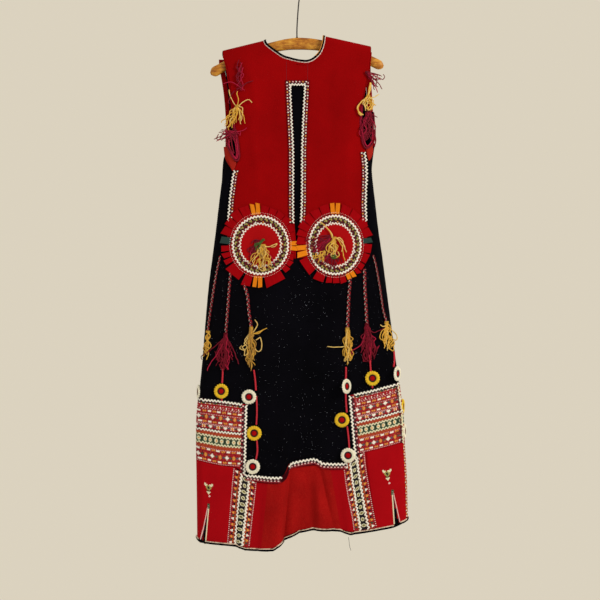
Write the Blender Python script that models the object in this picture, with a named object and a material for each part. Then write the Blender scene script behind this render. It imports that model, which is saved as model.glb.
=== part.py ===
"""Long sleeveless folk dress in black wool with a red bib, hung on an arched wooden hanger.

Every size is in millimetres and is turned to metres on the way out. The garment faces -Y, +Z is up, and the
origin is the point under the wire loop that hangs on a nail.
"""

import math

import bmesh
import bpy
from mathutils import Matrix, Vector

MM = 0.001

# ------------------------------------------------------------------ driving sizes
WOOL = 2.0  # body cloth
FELT = 1.3  # cloth laid on the body
BRAID_TRIM = 1.2  # trims laid on that cloth
SEAM = 0.45  # clear gap between neighbouring pieces
SIDE_ROUND = 14.0  # the side folds turn over this much width
TOP_ROUND = 9.0  # the shoulder folds turn over this much height
SIDE_FLATTEN = 0.30  # how much shallower the wall is at its sides than in its middle
BACK_START = 0.5  # the back wall starts this far behind the side seam

ROSETTE_RADIUS = 16.8
ROSETTE_THICK = 4.6
CORD_RADIUS = 2.2
WIRE_RADIUS = 1.5
LOOP_RADIUS = 12.0

# Outline all round: height, left edge, right edge, depth of the front wall, depth of the back wall
OUTLINE = (
    (-120, -184, 166, 12.5, 12.5),
    (-160, -187, 165, 13.0, 13.0),
    (-183, -188, 163.5, 13.5, 13.5),
    (-206, -185, 163, 14.5, 14.0),
    (-227, -181, 164, 15.5, 14.5),
    (-270, -175, 167, 17.0, 15.5),
    (-323, -171.5, 170, 18.5, 16.5),
    (-358, -171, 172, 20.0, 17.5),
    (-402, -171.5, 167, 21.0, 18.0),
    (-420, -172, 163, 21.5, 18.5),
    (-452, -177, 165, 22.5, 19.0),
    (-514, -185, 172, 24.5, 20.0),
    (-574, -192, 179, 26.0, 21.0),
    (-636, -200, 188, 27.5, 22.0),
    (-698, -208, 196, 28.5, 23.0),
    (-797, -217, 209, 30.0, 24.5),
    (-873, -223, 219, 31.0, 26.0),
    (-935, -229, 227, 32.0, 27.0),
    (-998, -235, 235, 33.0, 28.0),
    (-1064, -236, 238, 34.0, 29.5),
    (-1133, -235, 242, 35.0, 31.0),
    (-1200, -234, 244, 35.5, 32.5),
    (-1310, -233, 246, 36.0, 34.0),
)
# How open the armhole is at a height: 1 where the two walls stand apart, 0 where the side seam closes them
ARM_OPEN = ((-120, 1.0), (-360, 1.0), (-404, 0.0), (-2000, 0.0))
# Shoulder fold: x, height
SHOULDER = ((-200, -170), (-82, -141.5), (-12, -124.0), (57, -131.5), (175, -157.5))
# Front neckline from one neck point to the other: x, height
NECK = (
    (-82, -141.5),
    (-78.5, -150.5),
    (-62, -164),
    (-40, -179),
    (-22, -185),
    (-8, -188.5),
    (5, -190.5),
    (18, -190.5),
    (32, -184.5),
    (47, -169),
    (54.5, -148),
    (56.5, -131.5),
)
# Back neckline, a little lower and plain
NECK_BACK = (
    (-82, -141.5),
    (-78.5, -152),
    (-58, -172),
    (-22, -193.5),
    (8, -199),
    (32, -190),
    (54, -150),
    (56.5, -131.5),
)
# Front armhole edges: height, x
ARM_LEFT = (
    (-140, -179),
    (-172, -178),
    (-184, -173),
    (-207, -167),
    (-230, -164),
    (-253, -160),
    (-285, -157),
    (-326, -151),
    (-360, -146),
    (-389, -140),
    (-407, -140),
    (-420, -144),
)
ARM_RIGHT = (
    (-140, 163),
    (-163, 163),
    (-185, 161),
    (-212, 158),
    (-246, 150),
    (-291, 140),
    (-328, 137),
    (-362, 139),
    (-378, 142),
    (-389, 149),
)
# Rows of the front: height at the left edge, height at the right edge
FRONT_ROWS = (
    (-200, -190),
    (-224, -213),
    (-250, -240),
    (-285, -270),
    (-320, -300),
    (-355, -330),
    (-385, -354),
    (-407, -374),
    (-420, -389),
    (-437, -405),
    (-470, -440),
    (-505, -478),
    (-540, -516),
    (-575, -555),
    (-610, -595),
    (-645, -635),
    (-690, -680),
    (-735, -725),
    (-780, -770),
    (-825, -815),
    (-870, -860),
    (-915, -900),
    (-960, -938),
    (-1000, -975),
    (-1040, -1012),
    (-1080, -1050),
    (-1120, -1088),
    (-1155, -1120),
    (-1190, -1150),
    (-1222, -1180),
    (-1250, -1208),
)
UNDERARM_ROW = 9  # the first of those rows under the armholes
UNDERARM_RISE = (33.0, 24.0)  # how far that row climbs at its left and right end
TOP_STEPS = (0.0, 0.7, 2.6, 5.5, 9.0)  # rows through the shoulder fold
EDGE_STEPS = (0.0, 1.07, 4.1, 8.6, 14.0)  # columns through a side fold
# Columns of the front between the side folds: x at the neckline, at -250, -960, -1120 and -1300
COLUMN_HEIGHTS = (-195, -250, -960, -1120, -1300)
COLUMNS = (
    ("left_mid", -135, -137, -190, -192, -200),
    ("left_band_out", -108, -112, -158, -150, -166),
    ("left_panel_edge", -82, -92, -121, -125, -141),
    ("left_band_in", -78.5, -79, -96, -98.5, -118),
    ("left_hem_mid", -62, -64, -70, -68, -86),
    ("fold_rise", -40, -44, -42, -49, -66),
    ("fold_top", -22, -28, -26, -35.5, -54),
    ("fold_edge", -8, -20, -19, -30.5, -48),
    ("fold_foot", 5, 9, -12, -24.5, -42),
    ("centre", 18, 18, 8, 6, -6),
    ("crease_foot", 32, 33, 36, 38, 38),
    ("crease_top", 47, 48, 44, 48, 49),
    ("right_hem_mid", 54.5, 60, 68, 74, 88),
    ("right_band_in", 56.5, 70, 92, 101, 127),
    ("right_panel_edge", 85, 90, 113, 128, 151),
    ("right_band_out", 110, 110, 142, 152, 178),
    ("right_mid", 130, 126, 184, 198, 214),
)
# Folds of the front: where it starts, where it is full, x there and at the hem, reach left, reach right, height
FRONT_FOLDS = (
    ("hem_fold", -930, -1230, -18, -50, 46, 7.5, 17),
    ("hem_crease", -1000, -1220, 42, 45, 8, 38, 8),
    ("left_swell", -640, -1150, -150, -172, 46, 46, 6),
    ("right_swell", -640, -1150, 150, 180, 46, 46, 6),
    ("centre_hollow", -560, -1100, 4, 4, 70, 70, -6),
    ("left_band_step", -1080, -1260, -128, -132, 7, 30, 5),
    ("right_band_step", -1080, -1240, 108, 112, 26, 8, 5),
)
BACK_FOLDS = (
    ("back_left", -560, -1200, -90, -120, 44, 44, 9),
    ("back_middle", -640, -1200, 10, 5, 34, 34, -7),
    ("back_right", -560, -1200, 100, 125, 44, 44, 9),
)
# Front hem: x, height
HEM = (
    (-250, -1274),
    (-233, -1281),
    (-224, -1286),
    (-213, -1288),
    (-184, -1290),
    (-144, -1293),
    (-124, -1301),
    (-90, -1303),
    (-60, -1301),
    (-40, -1284),
    (-3, -1264),
    (30, -1257),
    (50, -1258),
    (90, -1259),
    (114, -1267),
    (150, -1262),
    (184, -1256),
    (214, -1251),
    (227, -1245),
    (255, -1231),
)
HEM_BACK = ((-250, -1270), (-120, -1252), (0, -1242), (120, -1238), (255, -1229))
# Slot that shows the black cloth down the middle of the bib: height, left edge, right edge
SLOT = (
    (-190, -8, 5),
    (-245, -20.0, 9.0),
    (-280, -19.0, 7.2),
    (-337, -16.0, 4.2),
    (-394, -13.4, 2.0),
    (-508, -13.5, 1.8),
    (-558, -12.8, -0.4),
    (-603, -9.5, -5.8),
    (-660, -9.0, -6.3),
)
# Bib edges under the arms: height, x
BIB_LEFT = ((-420, -144), (-439, -152), (-451, -156), (-476, -159), (-505, -163), (-533, -165), (-571, -168), (-660, -160))
BIB_RIGHT = ((-389, 149), (-416, 153.5), (-457, 154.5), (-517, 152.5), (-553, 154), (-590, 154), (-660, 149))
BIB_COLUMNS = (
    ("left_mid", -120, -122, -120),
    ("left_panel_edge", -82, -92, -96),
    ("left_band_in", -78.5, -79, -80),
    ("left_hem_mid", -62, -62, -64),
    ("fold_rise", -40, -44, -46),
    ("fold_top", -22, -29, -28),
    ("slot_left", 0, 0, 0),
    ("slot_right", 0, 0, 0),
    ("centre", 18, 20, 16),
    ("crease_foot", 32, 34, 30),
    ("crease_top", 47, 48, 46),
    ("right_hem_mid", 54.5, 60, 62),
    ("right_band_in", 56.5, 72, 80),
    ("right_panel_edge", 85, 92, 100),
    ("right_band_out", 118, 118, 126),
)
BIB_ROWS = 16  # of the front's rows: the bib ends under the discs

# Discs: x and height of the middle, radius across, radius up, outer radius of the ring of tabs across and up
DISCS = (
    ("left", -91.0, -610.0, 69.0, 73.5, 84.5, 93.5),
    ("right", 79.0, -607.0, 64.5, 70.0, 83.5, 90.5),
)
TABS = 24  # tabs in a ring
# Braids from the rings: name, width at top, then points x, height down to the tassel
BRAIDS = (
    ("braid_l1", 6.5, ((-184, -646), (-190, -674), (-198, -724), (-206, -785), (-208.5, -806))),
    ("braid_l2", 9.0, ((-158.5, -681), (-162, -724), (-165.5, -773), (-168.5, -809))),
    ("braid_l3", 10.5, ((-126, -702), (-119, -727), (-116, -761), (-110.5, -795))),
    ("braid_r1", 10.5, ((113.5, -697), (111, -730), (109, -774), (107.5, -797))),
    ("braid_r2", 10.5, ((147, -676), (147.5, -708), (150, -752), (152, -788))),
    ("braid_r3", 6.5, ((169.5, -644), (173.5, -660), (182, -708), (189, -756), (195.5, -784))),
)
# Tassels at the ends of the braids: name, thickness, then rows height, left, right
TASSELS = (
    ("tassel_l1", 8.0, ((-808.5, -212, -204), (-824, -215.5, -205), (-846, -217.5, -207), (-872, -220, -212))),
    ("tassel_l2", 9.0, ((-812, -174, -163), (-824, -190, -154), (-860, -196, -150), (-892, -192, -156), (-905, -182, -166))),
    ("tassel_l3", 9.0, ((-798, -117, -104), (-814, -126, -96), (-846, -131, -88), (-880, -124, -92), (-896, -112, -100))),
    ("tassel_r1", 8.0, ((-800, 102, 113), (-818, 98, 116), (-846, 97, 118), (-872, 99, 116), (-884, 104, 112))),
    ("tassel_r2", 9.0, ((-791, 146, 158), (-804, 138, 168), (-836, 137, 176), (-864, 141, 176), (-879, 150, 168))),
    ("tassel_r3", 8.0, ((-786.5, 191, 200), (-802, 192, 208), (-828, 195, 208.5), (-851, 199, 210))),
)
# Yarn tassels at the armholes: name, thickness, then rows height, left, right
ARM_TASSELS = (
    ("armhole_tassel_l", 8.0, ((-196, -150, -143), (-246, -149, -141), (-268, -152, -120), (-292, -156, -118), (-330, -172, -120), (-358, -184, -124), (-374, -181, -136))),
    ("armhole_tassel_r", 8.0, ((-214, 150, 186), (-248, 134, 188), (-284, 128, 176), (-318, 136, 172), (-352, 145, 166), (-366, 148, 158))),
)
# Yarn fans in the middle of the discs: name, thickness, then rows height, left, right
DISC_TASSELS = (
    ("disc_tassel_l", 6.0, ((-592, -96, -82), (-604, -112, -62), (-620, -114, -58), (-642, -110, -62), (-666, -98, -78))),
    ("disc_tassel_r", 6.0, ((-578, 48, 76), (-598, 44, 96), (-622, 34, 104), (-642, 34, 102), (-662, 50, 82))),
)
# Crocheted rosettes: name, x, height, stand-off of their back from the middle of the body cloth
ROSETTES = (
    ("rosette_l1", -178, -942, 3.3),
    ("rosette_l2", -116, -947, 3.3),
    ("rosette_l3", -102, -1037, 3.3),
    ("rosette_l4", -103, -1106, 6.4),
    ("rosette_r1", 105, -930, 3.3),
    ("rosette_r2", 164, -905, 3.3),
    ("rosette_r3", 207, -898, 3.9),
    ("rosette_r4", 95.5, -1007, 3.3),
    ("rosette_r5", 99, -1082, 5.2),
)
# Rosettes that stand on the side folds: name, height, side
SIDE_ROSETTES = (("rosette_l5", -936, -1), ("rosette_r6", -979, 1), ("rosette_r7", -1041, 1))
# Thin cords between the tassels and the rosettes: name, points x, height
CORDS = (
    ("cord_l2", ((-176, -909), (-177, -922))),
    ("cord_l3", ((-105, -900), (-98, -926), (-96, -968), (-98, -1016))),
    ("cord_r1", ((105, -888), (105, -904), (105.5, -910))),
)
# Joined panels of needlework near the hem. Left panel: top and bottom height at its left and right edges
LEFT_PANEL_TOP = ((-240, -959), (-178, -964), (-123, -972))
LEFT_PANEL_FOOT = ((-240, -1099), (-178, -1111), (-150, -1113), (-121, -1131))
RIGHT_PANEL_TOP = ((110, -952), (164, -940), (222, -925), (250, -919))
RIGHT_PANEL_FOOT = ((120, -1084), (147, -1080), (190, -1070), (230, -1059), (250, -1055))
# Head of the red cloth in the middle of the hem: x, height
CENTRE_HEAD = (
    (-125, -1131),
    (-97, -1134),
    (-68, -1136.5),
    (-45, -1136.5),
    (-35, -1129),
    (-28, -1107),
    (2, -1100),
    (33, -1095),
    (44, -1099),
    (51, -1105),
    (72, -1106),
    (98, -1106),
    (122, -1102),
)
TRIM_HEIGHT = 13.5  # of the trim on that head
BINDING_HEIGHT = 6.0  # of the binding along the hem
BACK_HEM_HEIGHT = 175.0  # of the red band round the back

# Hanger bar, station by station: x, top, underside, half of its depth
BAR = (
    (-204, -211, -219, 3.5),
    (-198, -200, -221, 5.2),
    (-176, -188, -208, 6.2),
    (-140, -169, -191, 6.4),
    (-105, -153.5, -178, 6.5),
    (-71, -144, -168, 6.5),
    (-35, -135.5, -161, 6.5),
    (-7, -132, -159.5, 6.5),
    (20, -133, -160, 6.5),
    (48, -137, -162.5, 6.5),
    (85, -145.5, -170.5, 6.5),
    (125, -157.5, -182, 6.4),
    (160, -172, -196, 6.2),
    (185, -186, -206, 5.2),
    (191, -193, -203, 3.5),
)


# ------------------------------------------------------------------ tables and the two walls
def straight(rows, key, column=1):
    """Value of a column between the rows of a table, its first column the key."""
    ordered = rows if rows[0][0] < rows[-1][0] else rows[::-1]
    if key <= ordered[0][0]:
        return ordered[0][column]
    for low, high in zip(ordered, ordered[1:]):
        if key <= high[0]:
            share = (key - low[0]) / (high[0] - low[0])
            return low[column] + share * (high[column] - low[column])
    return ordered[-1][column]


def smooth(rows, key, column=1):
    """The same with a curve through the rows."""
    ordered = rows if rows[0][0] < rows[-1][0] else rows[::-1]
    if key <= ordered[0][0]:
        return ordered[0][column]
    if key >= ordered[-1][0]:
        return ordered[-1][column]
    for k in range(len(ordered) - 1):
        if key <= ordered[k + 1][0]:
            break
    x = [row[0] for row in ordered]
    v = [row[column] for row in ordered]
    run = x[k + 1] - x[k]
    slope = (v[k + 1] - v[k]) / run
    before = (v[k] - v[k - 1]) / (x[k] - x[k - 1]) if k else slope
    after = (v[k + 2] - v[k + 1]) / (x[k + 2] - x[k + 1]) if k + 2 < len(x) else slope
    start = 0.5 * (before + slope) if before * slope > 0 else 0.0
    end = 0.5 * (slope + after) if after * slope > 0 else 0.0
    t = (key - x[k]) / run
    return (
        v[k]
        + run * start * t * (1 - t) ** 2
        + (3 * t * t - 2 * t**3) * (v[k + 1] - v[k])
        - run * end * t * t * (1 - t)
    )


def ramp(value, start, full):
    share = min(max((value - start) / (full - start), 0.0), 1.0)
    return share * share * (3 - 2 * share)


def rounding(inside, radius):
    """0 at the fold, 1 once the wall has turned: a quarter of a circle between them."""
    share = 1 - min(max(inside, 0.03), radius) / radius
    return math.sqrt(1 - share * share)


def folds(rows, x, z):
    total = 0.0
    for _, start, full, x_start, x_hem, left, right, height in rows:
        along = min(max((z - start) / (-1290 - start), 0.0), 1.0)
        offset = x - (x_start + along * (x_hem - x_start))
        reach = left if offset < 0 else right
        total += height * ramp(z, start, full) * math.exp(-((offset / reach) ** 2))
    return total


def depth(x, z, column, fold_rows):
    left, right = smooth(OUTLINE, z, 1), smooth(OUTLINE, z, 2)
    side = (2 * x - left - right) / (right - left)
    flat = smooth(OUTLINE, z, column) * (1 - SIDE_FLATTEN * min(abs(side), 1.0) ** 2.2)
    at_side = rounding(min(x - left, right - x), SIDE_ROUND)
    at_side += (1 - at_side) * straight(ARM_OPEN, z)
    return (flat + folds(fold_rows, x, z)) * at_side * rounding(straight(SHOULDER, x) - z, TOP_ROUND)


def front_y(x, z):
    return -depth(x, z, 3, FRONT_FOLDS)


def back_y(x, z):
    return BACK_START + depth(x, z, 4, BACK_FOLDS)


def wall_point(height, facing, x, z, out):
    """Point `out` mm off the middle of a wall, along its own normal. facing is -1 for the front and 1 for the back."""
    left, right = smooth(OUTLINE, z, 1), smooth(OUTLINE, z, 2)
    step = 0.05
    inner = min(max(x, left + 2 * step), right - 2 * step)
    slope_x = (height(inner + step, z) - height(inner - step, z)) / (2 * step)
    slope_z = (height(x, z + 0.5) - height(x, z - 0.5)) / 1.0
    normal = Vector((-slope_x, 1.0, -slope_z)) * facing
    return Vector((x, height(x, z), z)) + normal.normalized() * out


def front_point(x, z, out):
    return wall_point(front_y, -1, x, z, out)


def back_point(x, z, out):
    return wall_point(back_y, 1, x, z, out)


# ------------------------------------------------------------------ scene helpers
def clear_scene():
    for old in list(bpy.data.objects):
        bpy.data.objects.remove(old, do_unlink=True)


def material(name, colour, roughness, metallic=0.0):
    made = bpy.data.materials.get(name) or bpy.data.materials.new(name)
    made.use_nodes = True
    shader = made.node_tree.nodes["Principled BSDF"]
    shader.inputs["Base Color"].default_value = (*colour, 1.0)
    shader.inputs["Roughness"].default_value = roughness
    shader.inputs["Metallic"].default_value = metallic
    made.diffuse_color = (*colour, 1.0)
    return made


BLACK = (0.004, 0.004, 0.006)
RED = (0.26, 0.004, 0.005)
CRIMSON = (0.15, 0.008, 0.02)
ORANGE = (0.7, 0.16, 0.01)
BRICK = (0.30, 0.010, 0.008)
CREAM = (0.78, 0.70, 0.55)
YELLOW = (0.62, 0.36, 0.07)
GOLD = (0.75, 0.50, 0.04)
WHITE = (0.80, 0.76, 0.66)
CORD_RED = (0.42, 0.02, 0.03)
WOOD = (0.48, 0.20, 0.03)
STEEL = (0.03, 0.03, 0.035)


def finish(name, bm, colour, roughness, metallic=0.0, round_piece=False):
    bmesh.ops.recalc_face_normals(bm, faces=bm.faces[:])
    mesh = bpy.data.meshes.new(name)
    bm.to_mesh(mesh)
    bm.free()
    for polygon in mesh.polygons:
        polygon.use_smooth = round_piece
    made = bpy.data.objects.new(name, mesh)
    mesh.materials.append(material("mat_" + name, colour, roughness, metallic))
    DRESS.objects.link(made)
    return made


def sheet(name, columns, rows, flat, point, inner, outer, colour, roughness=0.9, hole=None, closed=False):
    """A wall over a grid: flat(column, row) gives x and height, point puts it on a wall, inner and outer are its faces.

    inner and outer are distances off the middle of the wall, or functions of column and row that give them.
    """
    bm = bmesh.new()
    index = bm.verts.layers.int.new("place")
    bmesh.ops.create_grid(bm, x_segments=columns, y_segments=rows, size=0.5)
    for vertex in bm.verts:
        i = round((vertex.co.x + 0.5) * columns)
        j = round((0.5 - vertex.co.y) * rows)
        vertex[index] = i * 1000 + j
    if hole:
        gone = [
            face
            for face in bm.faces
            if hole(min(v[index] // 1000 for v in face.verts), min(v[index] % 1000 for v in face.verts))
        ]
        bmesh.ops.delete(bm, geom=gone, context="FACES")
    for vertex in bm.verts:
        x, z = flat(vertex[index] // 1000, vertex[index] % 1000)
        vertex.co = Vector((x, 0.0, z))
    if closed:
        bmesh.ops.remove_doubles(bm, verts=bm.verts[:], dist=0.001)
    grown = bmesh.ops.extrude_face_region(bm, geom=bm.faces[:], use_keep_orig=True)
    outside = {item for item in grown["geom"] if isinstance(item, bmesh.types.BMVert)}
    for vertex in bm.verts:
        i, j = vertex[index] // 1000, vertex[index] % 1000
        reach = outer if vertex in outside else inner
        out = reach(i, j) if callable(reach) else reach
        vertex.co = point(vertex.co.x, vertex.co.z, out) * MM
    return finish(name, bm, colour, roughness)


def between(low, high, share):
    return low + (high - low) * share


BODY_OUT = WOOL / 2
LAID = (BODY_OUT + SEAM, BODY_OUT + SEAM + FELT)  # cloth laid on the body
ON_LAID = (LAID[1] + SEAM + 0.3, LAID[1] + SEAM + 0.3 + BRAID_TRIM)  # what lies on that cloth
ON_TRIM = ON_LAID[1] + SEAM
HEM_LAID = (LAID[0] + 0.7, LAID[1] + 0.7)  # the heavier cloth at the hem stands off a little more
ON_HEM = (ON_LAID[0] + 0.8, ON_LAID[1] + 0.8)

clear_scene()
DRESS = bpy.data.collections.new("folk_dress")
bpy.context.scene.collection.children.link(DRESS)


# ------------------------------------------------------------------ hanger
def hanger():
    bm = bmesh.new()
    rings = []
    for k, (x, top, foot, half) in enumerate(BAR):
        near = BAR[max(k - 1, 0)], BAR[min(k + 1, len(BAR) - 1)]
        slope = math.atan2(
            near[1][1] + near[1][2] - near[0][1] - near[0][2], 2 * (near[1][0] - near[0][0])
        )
        tilt = slope if 0 < k < len(BAR) - 1 else slope * 0.6
        middle = Vector((x, 0.0, (top + foot) / 2)) * MM
        turn = Matrix.Rotation(-tilt, 4, "Y") @ Matrix.Rotation(math.pi / 2, 4, "Y")
        size = Matrix.Diagonal(((top - foot) / 2 * MM * math.cos(tilt), half * MM, 1.0, 1.0))
        made = bmesh.ops.create_circle(
            bm,
            cap_ends=k in (0, len(BAR) - 1),
            radius=1.0,
            segments=14,
            matrix=Matrix.Translation(middle) @ turn @ size,
        )
        corners = set(made["verts"])
        for corner in corners:
            offset = corner.co - middle
            offset.y = math.copysign(min(abs(offset.y) * 1.12, half * MM), offset.y)
            corner.co = middle + offset
        rings.append([edge for edge in bm.edges if set(edge.verts) <= corners])
    for first, second in zip(rings, rings[1:]):
        bmesh.ops.bridge_loops(bm, edges=first + second)
    finish("hanger_bar", bm, WOOD, 0.35, round_piece=True)

    wire = bpy.data.curves.new("hanger_wire", "CURVE")
    wire.dimensions = "3D"
    wire.resolution_u = 1
    wire.bevel_depth = WIRE_RADIUS * MM
    wire.bevel_resolution = 2
    wire.use_fill_caps = True
    # Up from the bar, then round the loop; the loop's inside top is the origin
    foot_x, foot_z = -7.0, -132.0 + 0.6
    points = [(foot_x, foot_z), (foot_x, -110), (-4.5, -70), (-2.0, -45)]
    centre = -(LOOP_RADIUS)
    radius = LOOP_RADIUS + WIRE_RADIUS
    for step in range(15):
        angle = math.radians(-78 + step * 328 / 14)
        points.append((radius * math.cos(angle), centre + radius * math.sin(angle)))
    line = wire.splines.new("POLY")
    line.points.add(len(points) - 1)
    for spot, (x, z) in zip(line.points, points):
        spot.co = (x * MM, 0.0, z * MM, 1.0)
    made = bpy.data.objects.new("hanger_wire", wire)
    made.data.materials.append(material("mat_hanger_wire", STEEL, 0.4, 1.0))
    DRESS.objects.link(made)


# ------------------------------------------------------------------ the two walls of the body
def column_x(z, k):
    return straight(tuple(zip(COLUMN_HEIGHTS, COLUMNS[k][1:])), z)


def front_edge(z, side):
    """x of the front wall's free edge or side fold."""
    if side < 0:
        return straight(ARM_LEFT, z) if z >= -420 else smooth(OUTLINE, z, 1)
    return straight(ARM_RIGHT, z) if z >= -389 else smooth(OUTLINE, z, 2)


def front_row_height(row, share):
    left, right = FRONT_ROWS[row]
    return between(left, right, share)


LAST_COLUMN = len(COLUMNS) + 2 * len(EDGE_STEPS) - 1
TOP_ROWS = len(TOP_STEPS)


def column_spot(i, z, left, right):
    if i < len(EDGE_STEPS):
        return left + EDGE_STEPS[i]
    if i > LAST_COLUMN - len(EDGE_STEPS):
        return right - EDGE_STEPS[LAST_COLUMN - i]
    return column_x(z, i - len(EDGE_STEPS))


def neck_or_shoulder(x, neck):
    return straight(neck, x) if neck[0][0] < x < neck[-1][0] else straight(SHOULDER, x)


def front_flat(i, j):
    if j < TOP_ROWS:
        x = column_spot(i, -195, straight(ARM_LEFT, -170), straight(ARM_RIGHT, -160))
        return x, neck_or_shoulder(x, NECK) - TOP_STEPS[j]
    row = j - TOP_ROWS
    if row == len(FRONT_ROWS):
        x = column_spot(i, -1290, smooth(OUTLINE, -1280, 1), smooth(OUTLINE, -1240, 2))
        return x, straight(HEM, x)
    share = i / LAST_COLUMN
    z = front_row_height(row, share)
    ends = FRONT_ROWS[row]
    left, right = front_edge(ends[0], -1), front_edge(ends[1], 1)
    if row == UNDERARM_ROW:
        left, right = smooth(OUTLINE, -404, 1), smooth(OUTLINE, -381, 2)
    x = column_spot(i, z, left, right)
    if row == UNDERARM_ROW:
        near_left = max(0.0, 1 - (x - left) / 30)
        near_right = max(0.0, 1 - (right - x) / 22)
        z += UNDERARM_RISE[0] * near_left + UNDERARM_RISE[1] * near_right
    return x, z


def body():
    sheet(
        "front_body",
        LAST_COLUMN,
        TOP_ROWS + len(FRONT_ROWS),
        front_flat,
        front_point,
        -WOOL / 2,
        WOOL / 2,
        BLACK,
    )

    columns = (-1.0, -0.96, -0.86, -0.70, -0.5, -0.3, -0.12, 0.05, 0.2, 0.35, 0.5, 0.7, 0.86, 0.96, 1.0)
    rows = (-196, -225, -260, -300, -340, -375, -396)
    lower = (-440, -490, -545, -600, -660, -720, -780, -840, -900, -960, -1015, -1065, -1110, -1150, -1190, -1222)
    neck_x = (-82, -78.5, -58, -22, 8, 32, 54, 56.5)
    band = ARM_BAND + SEAM

    def flat(i, j):
        if i < len(EDGE_STEPS):
            spot = ("left", EDGE_STEPS[i])
        elif i > 24 - len(EDGE_STEPS):
            spot = ("right", EDGE_STEPS[24 - i])
        else:
            spot = ("between", i - len(EDGE_STEPS))
        middles = (-135, -108, *neck_x[:8], 78, 100, 122, 134, 142)

        def at(z, left, right):
            if spot[0] == "left":
                return left + spot[1]
            if spot[0] == "right":
                return right - spot[1]
            top = middles[spot[1]]
            spread = (spot[1] + 1) / 16
            low = left + 14 + (right - left - 28) * spread
            return between(top, low, ramp(-z, 190, 520))

        if j < TOP_ROWS:
            left, right = smooth(OUTLINE, -165, 1) + band, smooth(OUTLINE, -155, 2) - band
            x = at(-180, left, right)
            return x, neck_or_shoulder(x, NECK_BACK) - TOP_STEPS[j]
        row = j - TOP_ROWS
        if row < len(rows):
            z = rows[row]
            left, right = smooth(OUTLINE, z, 1) + band, smooth(OUTLINE, z, 2) - band
            x = at(z, left, right)
            return x, min(z, neck_or_shoulder(x, NECK_BACK) - 14 - 4 * row)
        row -= len(rows)
        z = -408 if row == 0 else (*lower, 0)[row - 1]
        if row <= len(lower):
            return at(z, smooth(OUTLINE, z, 1), smooth(OUTLINE, z, 2)), z
        x = at(-1280, smooth(OUTLINE, -1270, 1), smooth(OUTLINE, -1240, 2))
        return x, straight(HEM_BACK, x)

    sheet(
        "back_body",
        24,
        TOP_ROWS + len(rows) + len(lower) + 1,
        flat,
        back_point,
        -WOOL / 2,
        WOOL / 2,
        BLACK,
    )


ARM_BAND = 12.0  # width of the red band round the back of each armhole


def armhole_bands():
    heights = (-180, -196, -225, -260, -300, -340, -375, -392)
    for name, side in (("back_armhole_band_l", -1), ("back_armhole_band_r", 1)):
        column = 1 if side < 0 else 2

        def flat(i, j, side=side, column=column):
            z = heights[j]
            top = -165 if side < 0 else -155
            edge = smooth(OUTLINE, top if j == 0 else z, column)
            return edge - side * i * ARM_BAND / 2, z

        sheet(name, 2, len(heights) - 1, flat, back_point, -WOOL / 2, WOOL / 2, RED)


# ------------------------------------------------------------------ bib and what is sewn on it
def bib():
    names = [column[0] for column in BIB_COLUMNS]
    slot_left = names.index("slot_left") + 2

    def flat(i, j):
        count = len(BIB_COLUMNS) + 3

        def spot(z, left, right):
            if i < 2:
                return left + 14 * i
            if i > count - 2:
                return right - 14 * (count - i)
            name, neck, low, foot = BIB_COLUMNS[i - 2]
            if name == "slot_left":
                return straight(SLOT, z, 1)
            if name == "slot_right":
                return straight(SLOT, z, 2)
            return straight(((-195, neck), (-250, low), (-660, foot)), z)

        inset = 1.0
        if j < TOP_ROWS:
            left, right = straight(ARM_LEFT, -170) + inset, straight(ARM_RIGHT, -160) - inset
            x = spot(-190, left, right)
            return x, neck_or_shoulder(x, NECK) - TOP_STEPS[j]
        row = j - TOP_ROWS
        z = front_row_height(row, i / count)
        ends = FRONT_ROWS[row]
        left = (straight(ARM_LEFT, ends[0]) if ends[0] >= -420 else straight(BIB_LEFT, ends[0])) + inset
        right = (straight(ARM_RIGHT, ends[1]) if ends[1] >= -389 else straight(BIB_RIGHT, ends[1])) - inset
        return spot(z, left, right), z

    first = TOP_ROWS + 2  # the row on which the slot starts
    sheet(
        "front_bib",
        len(BIB_COLUMNS) + 3,
        TOP_ROWS + BIB_ROWS - 1,
        flat,
        front_point,
        *LAID,
        RED,
        hole=lambda i, j: i == slot_left and j >= first,
    )


def strip(name, inner, outer, layer, colour, across=2, point=front_point):
    """A trim between two lines that have the same number of points."""

    def flat(i, j):
        share = i / across
        return (
            between(inner[j][0], outer[j][0], share),
            between(inner[j][1], outer[j][1], share),
        )

    sheet(name, across, len(inner) - 1, flat, point, *layer, colour)


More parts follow.
